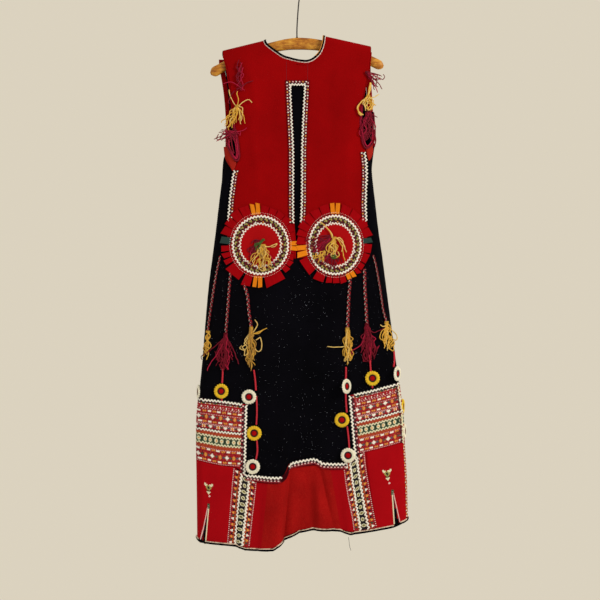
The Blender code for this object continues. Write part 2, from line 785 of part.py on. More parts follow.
def trims():
    # Trim round the slot: the line at the slot and the line 12.5 mm outside it
    left = [(straight(SLOT, z, 1) - 0.3, z) for z in (-539, -508, -450, -394, -337, -290)]
    right = [(straight(SLOT, z, 2) + 0.3, z) for z in (-290, -337, -394, -450, -508, -539)]
    head = -246.0
    inner = [*left, (-20.3, head), (9.3, head), *right]
    outer = [(x - 12.5, z) for x, z in left] + [(-33, head + 12), (22, head + 12)]
    outer += [(x + 12.5, z) for x, z in right]
    strip("slot_trim", inner, outer, ON_LAID, CREAM)

    heights = (-446, -476, -505, -537)
    outer = [(straight(BIB_LEFT, z) + 1.0, z) for z in heights]
    strip("side_trim_l", outer, [(x + 12.5, z) for x, z in outer], ON_LAID, CREAM)
    heights = (-400, -424, -457, -487, -517, -539)
    outer = [(straight(BIB_RIGHT, z) - 1.0, z) for z in heights]
    strip("side_trim_r", outer, [(x - 12.0, z) for x, z in outer], ON_LAID, CREAM)

    # Binding along the front neckline: the neckline itself and a line 6 mm outside it
    line = [(x, z) for x, z in NECK[1:-1]]
    outside = []
    for k, (x, z) in enumerate(line):
        before, after = line[max(k - 1, 0)], line[min(k + 1, len(line) - 1)]
        along = Vector((after[0] - before[0], after[1] - before[1])).normalized()
        outside.append((x + along.y * 6.0, z - along.x * 6.0))
    strip("neck_binding", [(x, z - 0.4) for x, z in line], outside, ON_LAID, BLACK, across=1)

    # Rolled edges at the foot of the front armholes
    for name, rows, heights, side in (
        ("armhole_roll_l", ARM_LEFT, (-300, -326, -345, -360, -375, -389, -400, -410), -1),
        ("armhole_roll_r", ARM_RIGHT, (-291, -310, -328, -345, -362, -372, -380), 1),
    ):
        line = [(straight(rows, z), z) for z in heights]
        rope(name, [front_point(x + side * 3.4, z, 1.2) for x, z in line], 1.9, CRIMSON)

    # Gussets at the foot of the armholes: three corners, the first on the side fold
    for name, tip, low, high in (
        ("gusset_l", (-169.5, -405.5), (-154.5, -438.5), (-145.8, -423.0)),
        ("gusset_r", (164.0, -384.5), (155.6, -414.5), (150.8, -393.0)),
    ):

        def flat(i, j, tip=tip, low=low, high=high):
            foot = (between(low[0], high[0], i / 2), between(low[1], high[1], i / 2))
            share = 0.12 + 0.88 * j / 5
            return between(tip[0], foot[0], share), between(tip[1], foot[1], share)

        sheet(name, 2, 5, flat, front_point, LAID[0] + 1.0, LAID[1] + 1.0, ORANGE)


def rope(name, points, radius, colour, sides=2):
    line = bpy.data.curves.new(name, "CURVE")
    line.dimensions = "3D"
    line.resolution_u = 1
    line.bevel_depth = radius * MM
    line.bevel_resolution = sides
    line.use_fill_caps = True
    run = line.splines.new("POLY")
    run.points.add(len(points) - 1)
    for spot, place in zip(run.points, points):
        spot.co = (*(place * MM), 1.0)
    made = bpy.data.objects.new(name, line)
    line.materials.append(material("mat_" + name, colour, 0.85))
    DRESS.objects.link(made)


def discs():
    for side, x0, z0, across, up, ring_across, ring_up in DISCS:

        def flat(i, j, x0=x0, z0=z0, across=across, up=up):
            u, v = i / 5 - 1, j / 5 - 1
            return (
                x0 + across * u * math.sqrt(1 - v * v / 2),
                z0 + up * v * math.sqrt(1 - u * u / 2),
            )

        sheet(f"disc_{side[0]}", 10, 10, flat, front_point, *ON_LAID, RED)

        turns = TABS * 3

        def ring(i, j, x0=x0, z0=z0, inside=(across + 0.6, up + 0.6), outside=(ring_across, ring_up)):
            angle = math.radians(3.0) + 2 * math.pi * (i % turns) / turns
            reach = (0.0, 0.45, 1.0)[j]
            if j == 2 and i % 3 == 0:
                reach = 0.62
            return (
                x0 + between(inside[0], outside[0], reach) * math.cos(angle),
                z0 + between(inside[1], outside[1], reach) * math.sin(angle),
            )

        sheet(f"tab_ring_{side[0]}", turns, 2, ring, front_point, *ON_LAID, RED, closed=True)


def yarn(name, thick, rows, start, colour):
    """A plain solid of a tassel's reach, lying on the wall, thin at its edges."""

    def flat(i, j):
        z, left, right = rows[j]
        return between(left, right, i / 6), z

    def outer(i, j):
        return start + thick * (0.35, 0.75, 0.95, 1.0, 0.95, 0.75, 0.35)[i]

    sheet(name, 6, len(rows) - 1, flat, front_point, start, outer, colour)


def hangings():
    for name, width, points in BRAIDS:
        inner, outer = [], []
        for k, (x, z) in enumerate(points):
            before, after = points[max(k - 1, 0)], points[min(k + 1, len(points) - 1)]
            along = Vector((after[0] - before[0], after[1] - before[1])).normalized()
            inner.append((x + along.y * width / 2, z - along.x * width / 2))
            outer.append((x - along.y * width / 2, z + along.x * width / 2))
        strip(name, inner, outer, (LAID[0] + 0.4, LAID[0] + 3.6), RED)
    for name, thick, rows in TASSELS:
        yarn(name, thick, rows, LAID[0] + (1.6 if name in ("tassel_l1", "tassel_r3") else 0.0), YELLOW if name[-2:] in ("l1", "l3", "r1", "r3") else CRIMSON)
    for name, thick, rows in ARM_TASSELS:
        yarn(name, thick, rows, ON_TRIM + 1.2, CRIMSON)
    for name, thick, rows in DISC_TASSELS:
        yarn(name, thick, rows, ON_TRIM, YELLOW)
    for name, points in CORDS:
        rope(name, [front_point(x, z, BODY_OUT + SEAM + CORD_RADIUS) for x, z in points], CORD_RADIUS, CORD_RED)


def rosette(name, foot, normal):
    bm = bmesh.new()
    turn = normal.to_track_quat("Z", "Y").to_matrix().to_4x4()
    middle = foot + normal * ROSETTE_THICK / 2
    bmesh.ops.create_cone(
        bm,
        cap_ends=True,
        segments=20,
        radius1=ROSETTE_RADIUS * MM,
        radius2=(ROSETTE_RADIUS - 1.2) * MM,
        depth=ROSETTE_THICK * MM,
        matrix=Matrix.Translation(middle * MM) @ turn,
    )
    yellow = name in ("rosette_l1", "rosette_l3", "rosette_r2", "rosette_r4", "rosette_r6")
    finish(name, bm, GOLD if yellow else WHITE, 0.9)


def rosettes():
    for name, x, z, stand in ROSETTES:
        foot = front_point(x, z, stand)
        normal = (front_point(x, z, stand + 1) - foot).normalized()
        rosette(name, foot, normal)
    for name, z, side in SIDE_ROSETTES:
        edge = smooth(OUTLINE, z, 1 if side < 0 else 2)
        rosette(name, Vector((edge + side * 5.2, -2.0, z)), Vector((side, -0.12, 0.0)).normalized())


# ------------------------------------------------------------------ red and worked cloth near the hem
def column(name):
    """x of one of the body's columns at a height."""
    k = [row[0] for row in COLUMNS].index(name)
    return lambda z: column_x(z, k)


def side_column(step, side):
    return lambda z: smooth(OUTLINE, z, 1 if side < 0 else 2) - side * EDGE_STEPS[step]


def panel(name, columns, head, foot, rows, layer, colour, head_gap=0.0, foot_gap=0.0):
    """A piece between two of the body's columns, on the columns between them, from one line down to another."""

    def flat(i, j):
        share = j / rows
        x = columns[i](head(0.0))
        for _ in range(3):
            z = between(head(x) - head_gap, foot(x) + foot_gap, share)
            x = columns[i](z)
        return x, z

    sheet(name, len(columns) - 1, rows, flat, front_point, *layer, colour)


def line_of(rows):
    return lambda x: straight(rows, x)


def shifted(spot, by):
    return lambda z: spot(z) + by


def hem():
    left_sides = [side_column(k, -1) for k in (1, 2, 3, 4)]
    right_sides = [side_column(k, 1) for k in (4, 3, 2, 1)]
    half = SEAM / 2
    panel(
        "embroidered_panel_l",
        [*left_sides, column("left_mid"), column("left_band_out"), column("left_panel_edge")],
        line_of(LEFT_PANEL_TOP),
        line_of(LEFT_PANEL_FOOT),
        4,
        HEM_LAID,
        CREAM,
    )
    panel(
        "embroidered_panel_r",
        [column("right_panel_edge"), column("right_band_out"), column("right_mid"), *right_sides],
        line_of(RIGHT_PANEL_TOP),
        line_of(RIGHT_PANEL_FOOT),
        4,
        HEM_LAID,
        CREAM,
    )
    hem_line = line_of(HEM)
    panel(
        "side_hem_l",
        [*left_sides, column("left_mid"), shifted(column("left_band_out"), -half)],
        line_of(LEFT_PANEL_FOOT),
        hem_line,
        5,
        HEM_LAID,
        RED,
        head_gap=SEAM,
    )
    panel(
        "side_hem_r",
        [shifted(column("right_band_out"), half), column("right_mid"), *right_sides],
        line_of(RIGHT_PANEL_FOOT),
        hem_line,
        5,
        HEM_LAID,
        RED,
        head_gap=SEAM,
    )
    head_l = line_of((*LEFT_PANEL_FOOT[:-1], (-124.5, -1131.5), (-90, -1134.5)))
    panel(
        "vertical_band_l",
        [shifted(column("left_band_out"), half), column("left_panel_edge"), shifted(column("left_band_in"), -half)],
        head_l,
        hem_line,
        5,
        HEM_LAID,
        ORANGE,
        head_gap=SEAM,
    )
    head_r = line_of(((95, -1106), (122, -1103), (128, -1084.5), *RIGHT_PANEL_FOOT[1:]))
    panel(
        "vertical_band_r",
        [shifted(column("right_band_in"), half), column("right_panel_edge"), shifted(column("right_band_out"), -half)],
        head_r,
        hem_line,
        5,
        HEM_LAID,
        ORANGE,
        head_gap=SEAM,
    )
    middle = [
        column(name)
        for name in (
            "left_hem_mid",
            "fold_rise",
            "fold_top",
            "fold_edge",
            "fold_foot",
            "centre",
            "crease_foot",
            "crease_top",
            "right_hem_mid",
        )
    ]
    centre = [shifted(column("left_band_in"), half), *middle, shifted(column("right_band_in"), -half)]
    head = line_of(CENTRE_HEAD)
    panel("centre_hem", centre, head, hem_line, 6, HEM_LAID, BRICK)
    panel(
        "hem_top_trim",
        centre,
        head,
        lambda x: head(x) - TRIM_HEIGHT,
        1,
        ON_HEM,
        CREAM,
    )
    every = [
        *left_sides,
        column("left_mid"),
        column("left_band_out"),
        column("left_panel_edge"),
        column("left_band_in"),
        *middle,
        column("right_band_in"),
        column("right_panel_edge"),
        column("right_band_out"),
        column("right_mid"),
        *right_sides,
    ]
    panel(
        "hem_binding",
        every,
        lambda x: hem_line(x) + BINDING_HEIGHT,
        hem_line,
        1,
        ON_HEM,
        BLACK,
    )

    # Red band round the back of the hem
    def flat(i, j):
        spread = (i - 5) / 14
        z = -1270.0
        for _ in range(3):
            left, right = smooth(OUTLINE, z, 1), smooth(OUTLINE, z, 2)
            if i < 5:
                x = left + EDGE_STEPS[i]
            elif i > 19:
                x = right - EDGE_STEPS[24 - i]
            else:
                x = between(left + 14, right - 14, (i - 4) / 16)
            z = straight(HEM_BACK, x) + BACK_HEM_HEIGHT * (1 - j / 5)
        return x, z

    sheet("back_hem", 24, 5, flat, back_point, *LAID, RED)


hanger()
body()
armhole_bands()
bib()
trims()
discs()
hangings()
rosettes()
hem()
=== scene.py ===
"""Looks for the long sleeveless folk dress on its wooden hanger.

The cloth walls follow the CAD model's own tables; this script adds the weave, creases, needlework, plaits, yarn and
crochet. Sizes are in millimetres until they are written to a mesh.
"""

import math
import random

import bpy
import numpy as np
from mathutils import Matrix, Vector


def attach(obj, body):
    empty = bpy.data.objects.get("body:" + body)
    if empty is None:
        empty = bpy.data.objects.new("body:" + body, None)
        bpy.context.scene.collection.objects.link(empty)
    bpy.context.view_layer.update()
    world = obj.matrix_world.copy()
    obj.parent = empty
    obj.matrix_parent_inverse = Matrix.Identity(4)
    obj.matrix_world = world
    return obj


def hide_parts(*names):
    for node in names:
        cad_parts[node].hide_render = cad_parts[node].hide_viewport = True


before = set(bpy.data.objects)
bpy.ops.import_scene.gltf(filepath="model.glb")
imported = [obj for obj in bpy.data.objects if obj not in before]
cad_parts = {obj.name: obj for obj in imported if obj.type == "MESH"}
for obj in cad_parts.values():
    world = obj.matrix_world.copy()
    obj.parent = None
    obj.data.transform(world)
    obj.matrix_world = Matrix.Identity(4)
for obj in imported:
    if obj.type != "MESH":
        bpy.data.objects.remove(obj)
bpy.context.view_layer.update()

MM = 0.001
random.seed(11)
RNG = np.random.default_rng(11)

# ------------------------------------------------------------------ driving sizes
WOOL = 2.0  # body cloth
FELT = 1.3  # cloth laid on the body
BRAID_TRIM = 1.2  # trims laid on that cloth
SEAM = 0.45  # clear gap between neighbouring pieces
SIDE_ROUND = 14.0  # the side folds turn over this much width
TOP_ROUND = 9.0  # the shoulder folds turn over this much height
SIDE_FLATTEN = 0.30  # how much shallower the wall is at its sides than in its middle
BACK_START = 0.5  # the back wall starts this far behind the side seam

ROSETTE_RADIUS = 16.8
ROSETTE_THICK = 4.6
CORD_RADIUS = 2.2
WIRE_RADIUS = 1.5
LOOP_RADIUS = 12.0

# Outline all round: height, left edge, right edge, depth of the front wall, depth of the back wall
OUTLINE = (
    (-120, -184, 166, 12.5, 12.5),
    (-160, -187, 165, 13.0, 13.0),
    (-183, -188, 163.5, 13.5, 13.5),
    (-206, -185, 163, 14.5, 14.0),
    (-227, -181, 164, 15.5, 14.5),
    (-270, -175, 167, 17.0, 15.5),
    (-323, -171.5, 170, 18.5, 16.5),
    (-358, -171, 172, 20.0, 17.5),
    (-402, -171.5, 167, 21.0, 18.0),
    (-420, -172, 163, 21.5, 18.5),
    (-452, -177, 165, 22.5, 19.0),
    (-514, -185, 172, 24.5, 20.0),
    (-574, -192, 179, 26.0, 21.0),
    (-636, -200, 188, 27.5, 22.0),
    (-698, -208, 196, 28.5, 23.0),
    (-797, -217, 209, 30.0, 24.5),
    (-873, -223, 219, 31.0, 26.0),
    (-935, -229, 227, 32.0, 27.0),
    (-998, -235, 235, 33.0, 28.0),
    (-1064, -236, 238, 34.0, 29.5),
    (-1133, -235, 242, 35.0, 31.0),
    (-1200, -234, 244, 35.5, 32.5),
    (-1310, -233, 246, 36.0, 34.0),
)
# How open the armhole is at a height: 1 where the two walls stand apart, 0 where the side seam closes them
ARM_OPEN = ((-120, 1.0), (-360, 1.0), (-404, 0.0), (-2000, 0.0))
# Shoulder fold: x, height
SHOULDER = ((-200, -170), (-82, -141.5), (-12, -124.0), (57, -131.5), (175, -157.5))
# Front neckline from one neck point to the other: x, height
NECK = (
    (-82, -141.5),
    (-78.5, -150.5),
    (-62, -164),
    (-40, -179),
    (-22, -185),
    (-8, -188.5),
    (5, -190.5),
    (18, -190.5),
    (32, -184.5),
    (47, -169),
    (54.5, -148),
    (56.5, -131.5),
)
# Back neckline, a little lower and plain
NECK_BACK = (
    (-82, -141.5),
    (-78.5, -152),
    (-58, -172),
    (-22, -193.5),
    (8, -199),
    (32, -190),
    (54, -150),
    (56.5, -131.5),
)
# Front armhole edges: height, x
ARM_LEFT = (
    (-140, -179),
    (-172, -178),
    (-184, -173),
    (-207, -167),
    (-230, -164),
    (-253, -160),
    (-285, -157),
    (-326, -151),
    (-360, -146),
    (-389, -140),
    (-407, -140),
    (-420, -144),
)
ARM_RIGHT = (
    (-140, 163),
    (-163, 163),
    (-185, 161),
    (-212, 158),
    (-246, 150),
    (-291, 140),
    (-328, 137),
    (-362, 139),
    (-378, 142),
    (-389, 149),
)
# Rows of the front: height at the left edge, height at the right edge
FRONT_ROWS = (
    (-200, -190),
    (-224, -213),
    (-250, -240),
    (-285, -270),
    (-320, -300),
    (-355, -330),
    (-385, -354),
    (-407, -374),
    (-420, -389),
    (-437, -405),
    (-470, -440),
    (-505, -478),
    (-540, -516),
    (-575, -555),
    (-610, -595),
    (-645, -635),
    (-690, -680),
    (-735, -725),
    (-780, -770),
    (-825, -815),
    (-870, -860),
    (-915, -900),
    (-960, -938),
    (-1000, -975),
    (-1040, -1012),
    (-1080, -1050),
    (-1120, -1088),
    (-1155, -1120),
    (-1190, -1150),
    (-1222, -1180),
    (-1250, -1208),
)
UNDERARM_ROW = 9  # the first of those rows under the armholes
UNDERARM_RISE = (33.0, 24.0)  # how far that row climbs at its left and right end
TOP_STEPS = (0.0, 0.7, 2.6, 5.5, 9.0)  # rows through the shoulder fold
EDGE_STEPS = (0.0, 1.07, 4.1, 8.6, 14.0)  # columns through a side fold
# Columns of the front between the side folds: x at the neckline, at -250, -960, -1120 and -1300
COLUMN_HEIGHTS = (-195, -250, -960, -1120, -1300)
COLUMNS = (
    ("left_mid", -135, -137, -190, -192, -200),
    ("left_band_out", -108, -112, -158, -150, -166),
    ("left_panel_edge", -82, -92, -121, -125, -141),
    ("left_band_in", -78.5, -79, -96, -98.5, -118),
    ("left_hem_mid", -62, -64, -70, -68, -86),
    ("fold_rise", -40, -44, -42, -49, -66),
    ("fold_top", -22, -28, -26, -35.5, -54),
    ("fold_edge", -8, -20, -19, -30.5, -48),
    ("fold_foot", 5, 9, -12, -24.5, -42),
    ("centre", 18, 18, 8, 6, -6),
    ("crease_foot", 32, 33, 36, 38, 38),
    ("crease_top", 47, 48, 44, 48, 49),
    ("right_hem_mid", 54.5, 60, 68, 74, 88),
    ("right_band_in", 56.5, 70, 92, 101, 127),
    ("right_panel_edge", 85, 90, 113, 128, 151),
    ("right_band_out", 110, 110, 142, 152, 178),
    ("right_mid", 130, 126, 184, 198, 214),
)
# Folds of the front: where it starts, where it is full, x there and at the hem, reach left, reach right, height
FRONT_FOLDS = (
    ("hem_fold", -930, -1230, -18, -50, 46, 7.5, 17),
    ("hem_crease", -1000, -1220, 42, 45, 8, 38, 8),
    ("left_swell", -640, -1150, -150, -172, 46, 46, 6),
    ("right_swell", -640, -1150, 150, 180, 46, 46, 6),
    ("centre_hollow", -560, -1100, 4, 4, 70, 70, -6),
    ("left_band_step", -1080, -1260, -128, -132, 7, 30, 5),
    ("right_band_step", -1080, -1240, 108, 112, 26, 8, 5),
)
BACK_FOLDS = (
    ("back_left", -560, -1200, -90, -120, 44, 44, 9),
    ("back_middle", -640, -1200, 10, 5, 34, 34, -7),
    ("back_right", -560, -1200, 100, 125, 44, 44, 9),
)
# Front hem: x, height
HEM = (
    (-250, -1274),
    (-233, -1281),
    (-224, -1286),
    (-213, -1288),
    (-184, -1290),
    (-144, -1293),
    (-124, -1301),
    (-90, -1303),
    (-60, -1301),
    (-40, -1284),
    (-3, -1264),
    (30, -1257),
    (50, -1258),
    (90, -1259),
    (114, -1267),
    (150, -1262),
    (184, -1256),
    (214, -1251),
    (227, -1245),
    (255, -1231),
)
HEM_BACK = ((-250, -1270), (-120, -1252), (0, -1242), (120, -1238), (255, -1229))
# Slot that shows the black cloth down the middle of the bib: height, left edge, right edge
SLOT = (
    (-190, -8, 5),
    (-245, -20.0, 9.0),
    (-280, -19.0, 7.2),
    (-337, -16.0, 4.2),
    (-394, -13.4, 2.0),
    (-508, -13.5, 1.8),
    (-558, -12.8, -0.4),
    (-603, -9.5, -5.8),
    (-660, -9.0, -6.3),
)
# Bib edges under the arms: height, x
BIB_LEFT = ((-420, -144), (-439, -152), (-451, -156), (-476, -159), (-505, -163), (-533, -165), (-571, -168), (-660, -160))
BIB_RIGHT = ((-389, 149), (-416, 153.5), (-457, 154.5), (-517, 152.5), (-553, 154), (-590, 154), (-660, 149))
BIB_COLUMNS = (
    ("left_mid", -120, -122, -120),
    ("left_panel_edge", -82, -92, -96),
    ("left_band_in", -78.5, -79, -80),
    ("left_hem_mid", -62, -62, -64),
    ("fold_rise", -40, -44, -46),
    ("fold_top", -22, -29, -28),
    ("slot_left", 0, 0, 0),
    ("slot_right", 0, 0, 0),
    ("centre", 18, 20, 16),
    ("crease_foot", 32, 34, 30),
    ("crease_top", 47, 48, 46),
    ("right_hem_mid", 54.5, 60, 62),
    ("right_band_in", 56.5, 72, 80),
    ("right_panel_edge", 85, 92, 100),
    ("right_band_out", 118, 118, 126),
)
BIB_ROWS = 16  # of the front's rows: the bib ends under the discs

# Discs: x and height of the middle, radius across, radius up, outer radius of the ring of tabs across and up
DISCS = (
    ("left", -91.0, -610.0, 69.0, 73.5, 84.5, 93.5),
    ("right", 79.0, -607.0, 64.5, 70.0, 83.5, 90.5),
)
TABS = 24  # tabs in a ring
# Braids from the rings: name, width at top, then points x, height down to the tassel
BRAIDS = (
    ("braid_l1", 6.5, ((-184, -646), (-190, -674), (-198, -724), (-206, -785), (-208.5, -806))),
    ("braid_l2", 9.0, ((-158.5, -681), (-162, -724), (-165.5, -773), (-168.5, -809))),
    ("braid_l3", 10.5, ((-126, -702), (-119, -727), (-116, -761), (-110.5, -795))),
    ("braid_r1", 10.5, ((113.5, -697), (111, -730), (109, -774), (107.5, -797))),
    ("braid_r2", 10.5, ((147, -676), (147.5, -708), (150, -752), (152, -788))),
    ("braid_r3", 6.5, ((169.5, -644), (173.5, -660), (182, -708), (189, -756), (195.5, -784))),
)
# Tassels at the ends of the braids: name, thickness, then rows height, left, right
TASSELS = (
    ("tassel_l1", 8.0, ((-808.5, -212, -204), (-824, -215.5, -205), (-846, -217.5, -207), (-872, -220, -212))),
    ("tassel_l2", 9.0, ((-812, -174, -163), (-824, -190, -154), (-860, -196, -150), (-892, -192, -156), (-905, -182, -166))),
    ("tassel_l3", 9.0, ((-798, -117, -104), (-814, -126, -96), (-846, -131, -88), (-880, -124, -92), (-896, -112, -100))),
    ("tassel_r1", 8.0, ((-800, 102, 113), (-818, 98, 116), (-846, 97, 118), (-872, 99, 116), (-884, 104, 112))),
    ("tassel_r2", 9.0, ((-791, 146, 158), (-804, 138, 168), (-836, 137, 176), (-864, 141, 176), (-879, 150, 168))),
    ("tassel_r3", 8.0, ((-786.5, 191, 200), (-802, 192, 208), (-828, 195, 208.5), (-851, 199, 210))),
)
# Yarn tassels at the armholes: name, thickness, then rows height, left, right
ARM_TASSELS = (
    ("armhole_tassel_l", 8.0, ((-196, -150, -143), (-246, -149, -141), (-268, -152, -120), (-292, -156, -118), (-330, -172, -120), (-358, -184, -124), (-374, -181, -136))),
    ("armhole_tassel_r", 8.0, ((-214, 150, 186), (-248, 134, 188), (-284, 128, 176), (-318, 136, 172), (-352, 145, 166), (-366, 148, 158))),
)
# Yarn fans in the middle of the discs: name, thickness, then rows height, left, right
DISC_TASSELS = (
    ("disc_tassel_l", 6.0, ((-592, -96, -82), (-604, -112, -62), (-620, -114, -58), (-642, -110, -62), (-666, -98, -78))),
    ("disc_tassel_r", 6.0, ((-578, 48, 76), (-598, 44, 96), (-622, 34, 104), (-642, 34, 102), (-662, 50, 82))),
)
# Crocheted rosettes: name, x, height, stand-off of their back from the middle of the body cloth
ROSETTES = (
    ("rosette_l1", -178, -942, 3.3),
    ("rosette_l2", -116, -947, 3.3),
    ("rosette_l3", -102, -1037, 3.3),
    ("rosette_l4", -103, -1106, 6.4),
    ("rosette_r1", 105, -930, 3.3),
    ("rosette_r2", 164, -905, 3.3),
    ("rosette_r3", 207, -898, 3.9),
    ("rosette_r4", 95.5, -1007, 3.3),
    ("rosette_r5", 99, -1082, 5.2),
)
# Rosettes that stand on the side folds: name, height, side
SIDE_ROSETTES = (("rosette_l5", -936, -1), ("rosette_r6", -979, 1), ("rosette_r7", -1041, 1))
# Thin cords between the tassels and the rosettes: name, points x, height
CORDS = (
    ("cord_l2", ((-176, -909), (-177, -922))),
    ("cord_l3", ((-105, -900), (-98, -926), (-96, -968), (-98, -1016))),
    ("cord_r1", ((105, -888), (105, -904), (105.5, -910))),
)
# Joined panels of needlework near the hem. Left panel: top and bottom height at its left and right edges
LEFT_PANEL_TOP = ((-240, -959), (-178, -964), (-123, -972))
LEFT_PANEL_FOOT = ((-240, -1099), (-178, -1111), (-150, -1113), (-121, -1131))
RIGHT_PANEL_TOP = ((110, -952), (164, -940), (222, -925), (250, -919))
RIGHT_PANEL_FOOT = ((120, -1084), (147, -1080), (190, -1070), (230, -1059), (250, -1055))
# Head of the red cloth in the middle of the hem: x, height
CENTRE_HEAD = (
    (-125, -1131),
    (-97, -1134),
    (-68, -1136.5),
    (-45, -1136.5),
    (-35, -1129),
    (-28, -1107),
    (2, -1100),
    (33, -1095),
    (44, -1099),
    (51, -1105),
    (72, -1106),
    (98, -1106),
    (122, -1102),
)
TRIM_HEIGHT = 13.5  # of the trim on that head
BINDING_HEIGHT = 6.0  # of the binding along the hem
BACK_HEM_HEIGHT = 175.0  # of the red band round the back

# Hanger bar, station by station: x, top, underside, half of its depth
BAR = (
    (-204, -211, -219, 3.5),
    (-198, -200, -221, 5.2),
    (-176, -188, -208, 6.2),
    (-140, -169, -191, 6.4),
    (-105, -153.5, -178, 6.5),
    (-71, -144, -168, 6.5),
    (-35, -135.5, -161, 6.5),
    (-7, -132, -159.5, 6.5),
    (20, -133, -160, 6.5),
    (48, -137, -162.5, 6.5),
    (85, -145.5, -170.5, 6.5),
    (125, -157.5, -182, 6.4),
    (160, -172, -196, 6.2),
    (185, -186, -206, 5.2),
    (191, -193, -203, 3.5),
)


# ------------------------------------------------------------------ tables and the two walls
def straight(rows, key, column=1):
    """Value of a column between the rows of a table, its first column the key."""
    ordered = rows if rows[0][0] < rows[-1][0] else rows[::-1]
    if key <= ordered[0][0]:
        return ordered[0][column]
    for low, high in zip(ordered, ordered[1:]):
        if key <= high[0]:
            share = (key - low[0]) / (high[0] - low[0])
            return low[column] + share * (high[column] - low[column])
    return ordered[-1][column]


def smooth(rows, key, column=1):
    """The same with a curve through the rows."""
    ordered = rows if rows[0][0] < rows[-1][0] else rows[::-1]
    if key <= ordered[0][0]:
        return ordered[0][column]
    if key >= ordered[-1][0]:
        return ordered[-1][column]
    for k in range(len(ordered) - 1):
        if key <= ordered[k + 1][0]:
            break
    x = [row[0] for row in ordered]
    v = [row[column] for row in ordered]
    run = x[k + 1] - x[k]
    slope = (v[k + 1] - v[k]) / run
    before = (v[k] - v[k - 1]) / (x[k] - x[k - 1]) if k else slope
    after = (v[k + 2] - v[k + 1]) / (x[k + 2] - x[k + 1]) if k + 2 < len(x) else slope
    start = 0.5 * (before + slope) if before * slope > 0 else 0.0
    end = 0.5 * (slope + after) if after * slope > 0 else 0.0
    t = (key - x[k]) / run
    return (
        v[k]
        + run * start * t * (1 - t) ** 2
        + (3 * t * t - 2 * t**3) * (v[k + 1] - v[k])
        - run * end * t * t * (1 - t)
    )


def ramp(value, start, full):
    share = min(max((value - start) / (full - start), 0.0), 1.0)
    return share * share * (3 - 2 * share)


def rounding(inside, radius):
    """0 at the fold, 1 once the wall has turned: a quarter of a circle between them."""
    share = 1 - min(max(inside, 0.03), radius) / radius
    return math.sqrt(1 - share * share)


def folds(rows, x, z):
    total = 0.0
    for _, start, full, x_start, x_hem, left, right, height in rows:
        along = min(max((z - start) / (-1290 - start), 0.0), 1.0)
        offset = x - (x_start + along * (x_hem - x_start))
        reach = left if offset < 0 else right
        total += height * ramp(z, start, full) * math.exp(-((offset / reach) ** 2))
    return total


def depth(x, z, column, fold_rows):
    left, right = smooth(OUTLINE, z, 1), smooth(OUTLINE, z, 2)
    side = (2 * x - left - right) / (right - left)
    flat = smooth(OUTLINE, z, column) * (1 - SIDE_FLATTEN * min(abs(side), 1.0) ** 2.2)
    at_side = rounding(min(x - left, right - x), SIDE_ROUND)
    at_side += (1 - at_side) * straight(ARM_OPEN, z)
    return (flat + folds(fold_rows, x, z)) * at_side * rounding(straight(SHOULDER, x) - z, TOP_ROUND)


def front_y(x, z):
    return -depth(x, z, 3, FRONT_FOLDS)


def back_y(x, z):
    return BACK_START + depth(x, z, 4, BACK_FOLDS)


def wall_point(height, facing, x, z, out):
    """Point `out` mm off the middle of a wall, along its own normal. facing is -1 for the front and 1 for the back."""
    left, right = smooth(OUTLINE, z, 1), smooth(OUTLINE, z, 2)
    step = 0.05
    inner = min(max(x, left + 2 * step), right - 2 * step)
    slope_x = (height(inner + step, z) - height(inner - step, z)) / (2 * step)
    slope_z = (height(x, z + 0.5) - height(x, z - 0.5)) / 1.0
    normal = Vector((-slope_x, 1.0, -slope_z)) * facing
    return Vector((x, height(x, z), z)) + normal.normalized() * out


def front_point(x, z, out):
    return wall_point(front_y, -1, x, z, out)


def back_point(x, z, out):
    return wall_point(back_y, 1, x, z, out)



def between(low, high, share):
    return low + (high - low) * share


BODY_OUT = WOOL / 2
LAID = (BODY_OUT + SEAM, BODY_OUT + SEAM + FELT)  # cloth laid on the body
ON_LAID = (LAID[1] + SEAM + 0.3, LAID[1] + SEAM + 0.3 + BRAID_TRIM)  # what lies on that cloth
ON_TRIM = ON_LAID[1] + SEAM
HEM_LAID = (LAID[0] + 0.7, LAID[1] + 0.7)  # the heavier cloth at the hem stands off a little more
ON_HEM = (ON_LAID[0] + 0.8, ON_LAID[1] + 0.8)


# ------------------------------------------------------------------ soft creases and fast copies of the walls
# Creases pressed into the cloth: start height, end height, x at start, x at end, reach, height (minus is a trough)
CREASES = (
    (-170, -330, -120, -96, 9, 1.5),
    (-160, -300, 96, 70, 10, 1.5),
    (-200, -420, -70, -64, 14, -1.6),
    (-210, -440, 66, 74, 14, -1.6),
    (-300, -520, -112, -92, 11, 2.0),
    (-300, -540, 112, 104, 12, 1.6),
    (-560, -900, -60, -48, 20, 1.6),
    (-600, -1000, 60, 70, 24, 1.7),
    (-660, -1020, 14, 6, 16, -1.6),
    (-700, -1000, -118, -128, 18, -1.5),
    (-720, -1050, 128, 140, 20, -1.5),
    (-860, -1260, -176, -196, 12, 1.6),
    (-900, -1250, 196, 214, 13, 1.6),
    (-1100, -1262, 41, 78, 7, -7.2),
    (-1100, -1262, 24, 56, 10, 5.0),
    (-1108, -1325, -28, -44, 8, -6.8),
    (-1105, -1320, -10, -20, 9, 4.6),
    (-1120, -1320, -84, -98, 7, -1.6),
    (-1110, -1320, 84, 104, 8, -1.5),
    (-1140, -1320, 12, 8, 10, 1.7),
    (-1130, -1320, -8, -20, 6, -1.4),
)
GRID_Z = np.arange(-1330.0, -99.0, 1.0)
DENSE = {k: np.array([smooth(OUTLINE, z, k) for z in GRID_Z]) for k in (1, 2, 3, 4)}
ARM_DENSE = np.array([straight(ARM_OPEN, z) for z in GRID_Z])
SHOULDER_X = np.array([row[0] for row in SHOULDER], float)
SHOULDER_Z = np.array([row[1] for row in SHOULDER], float)


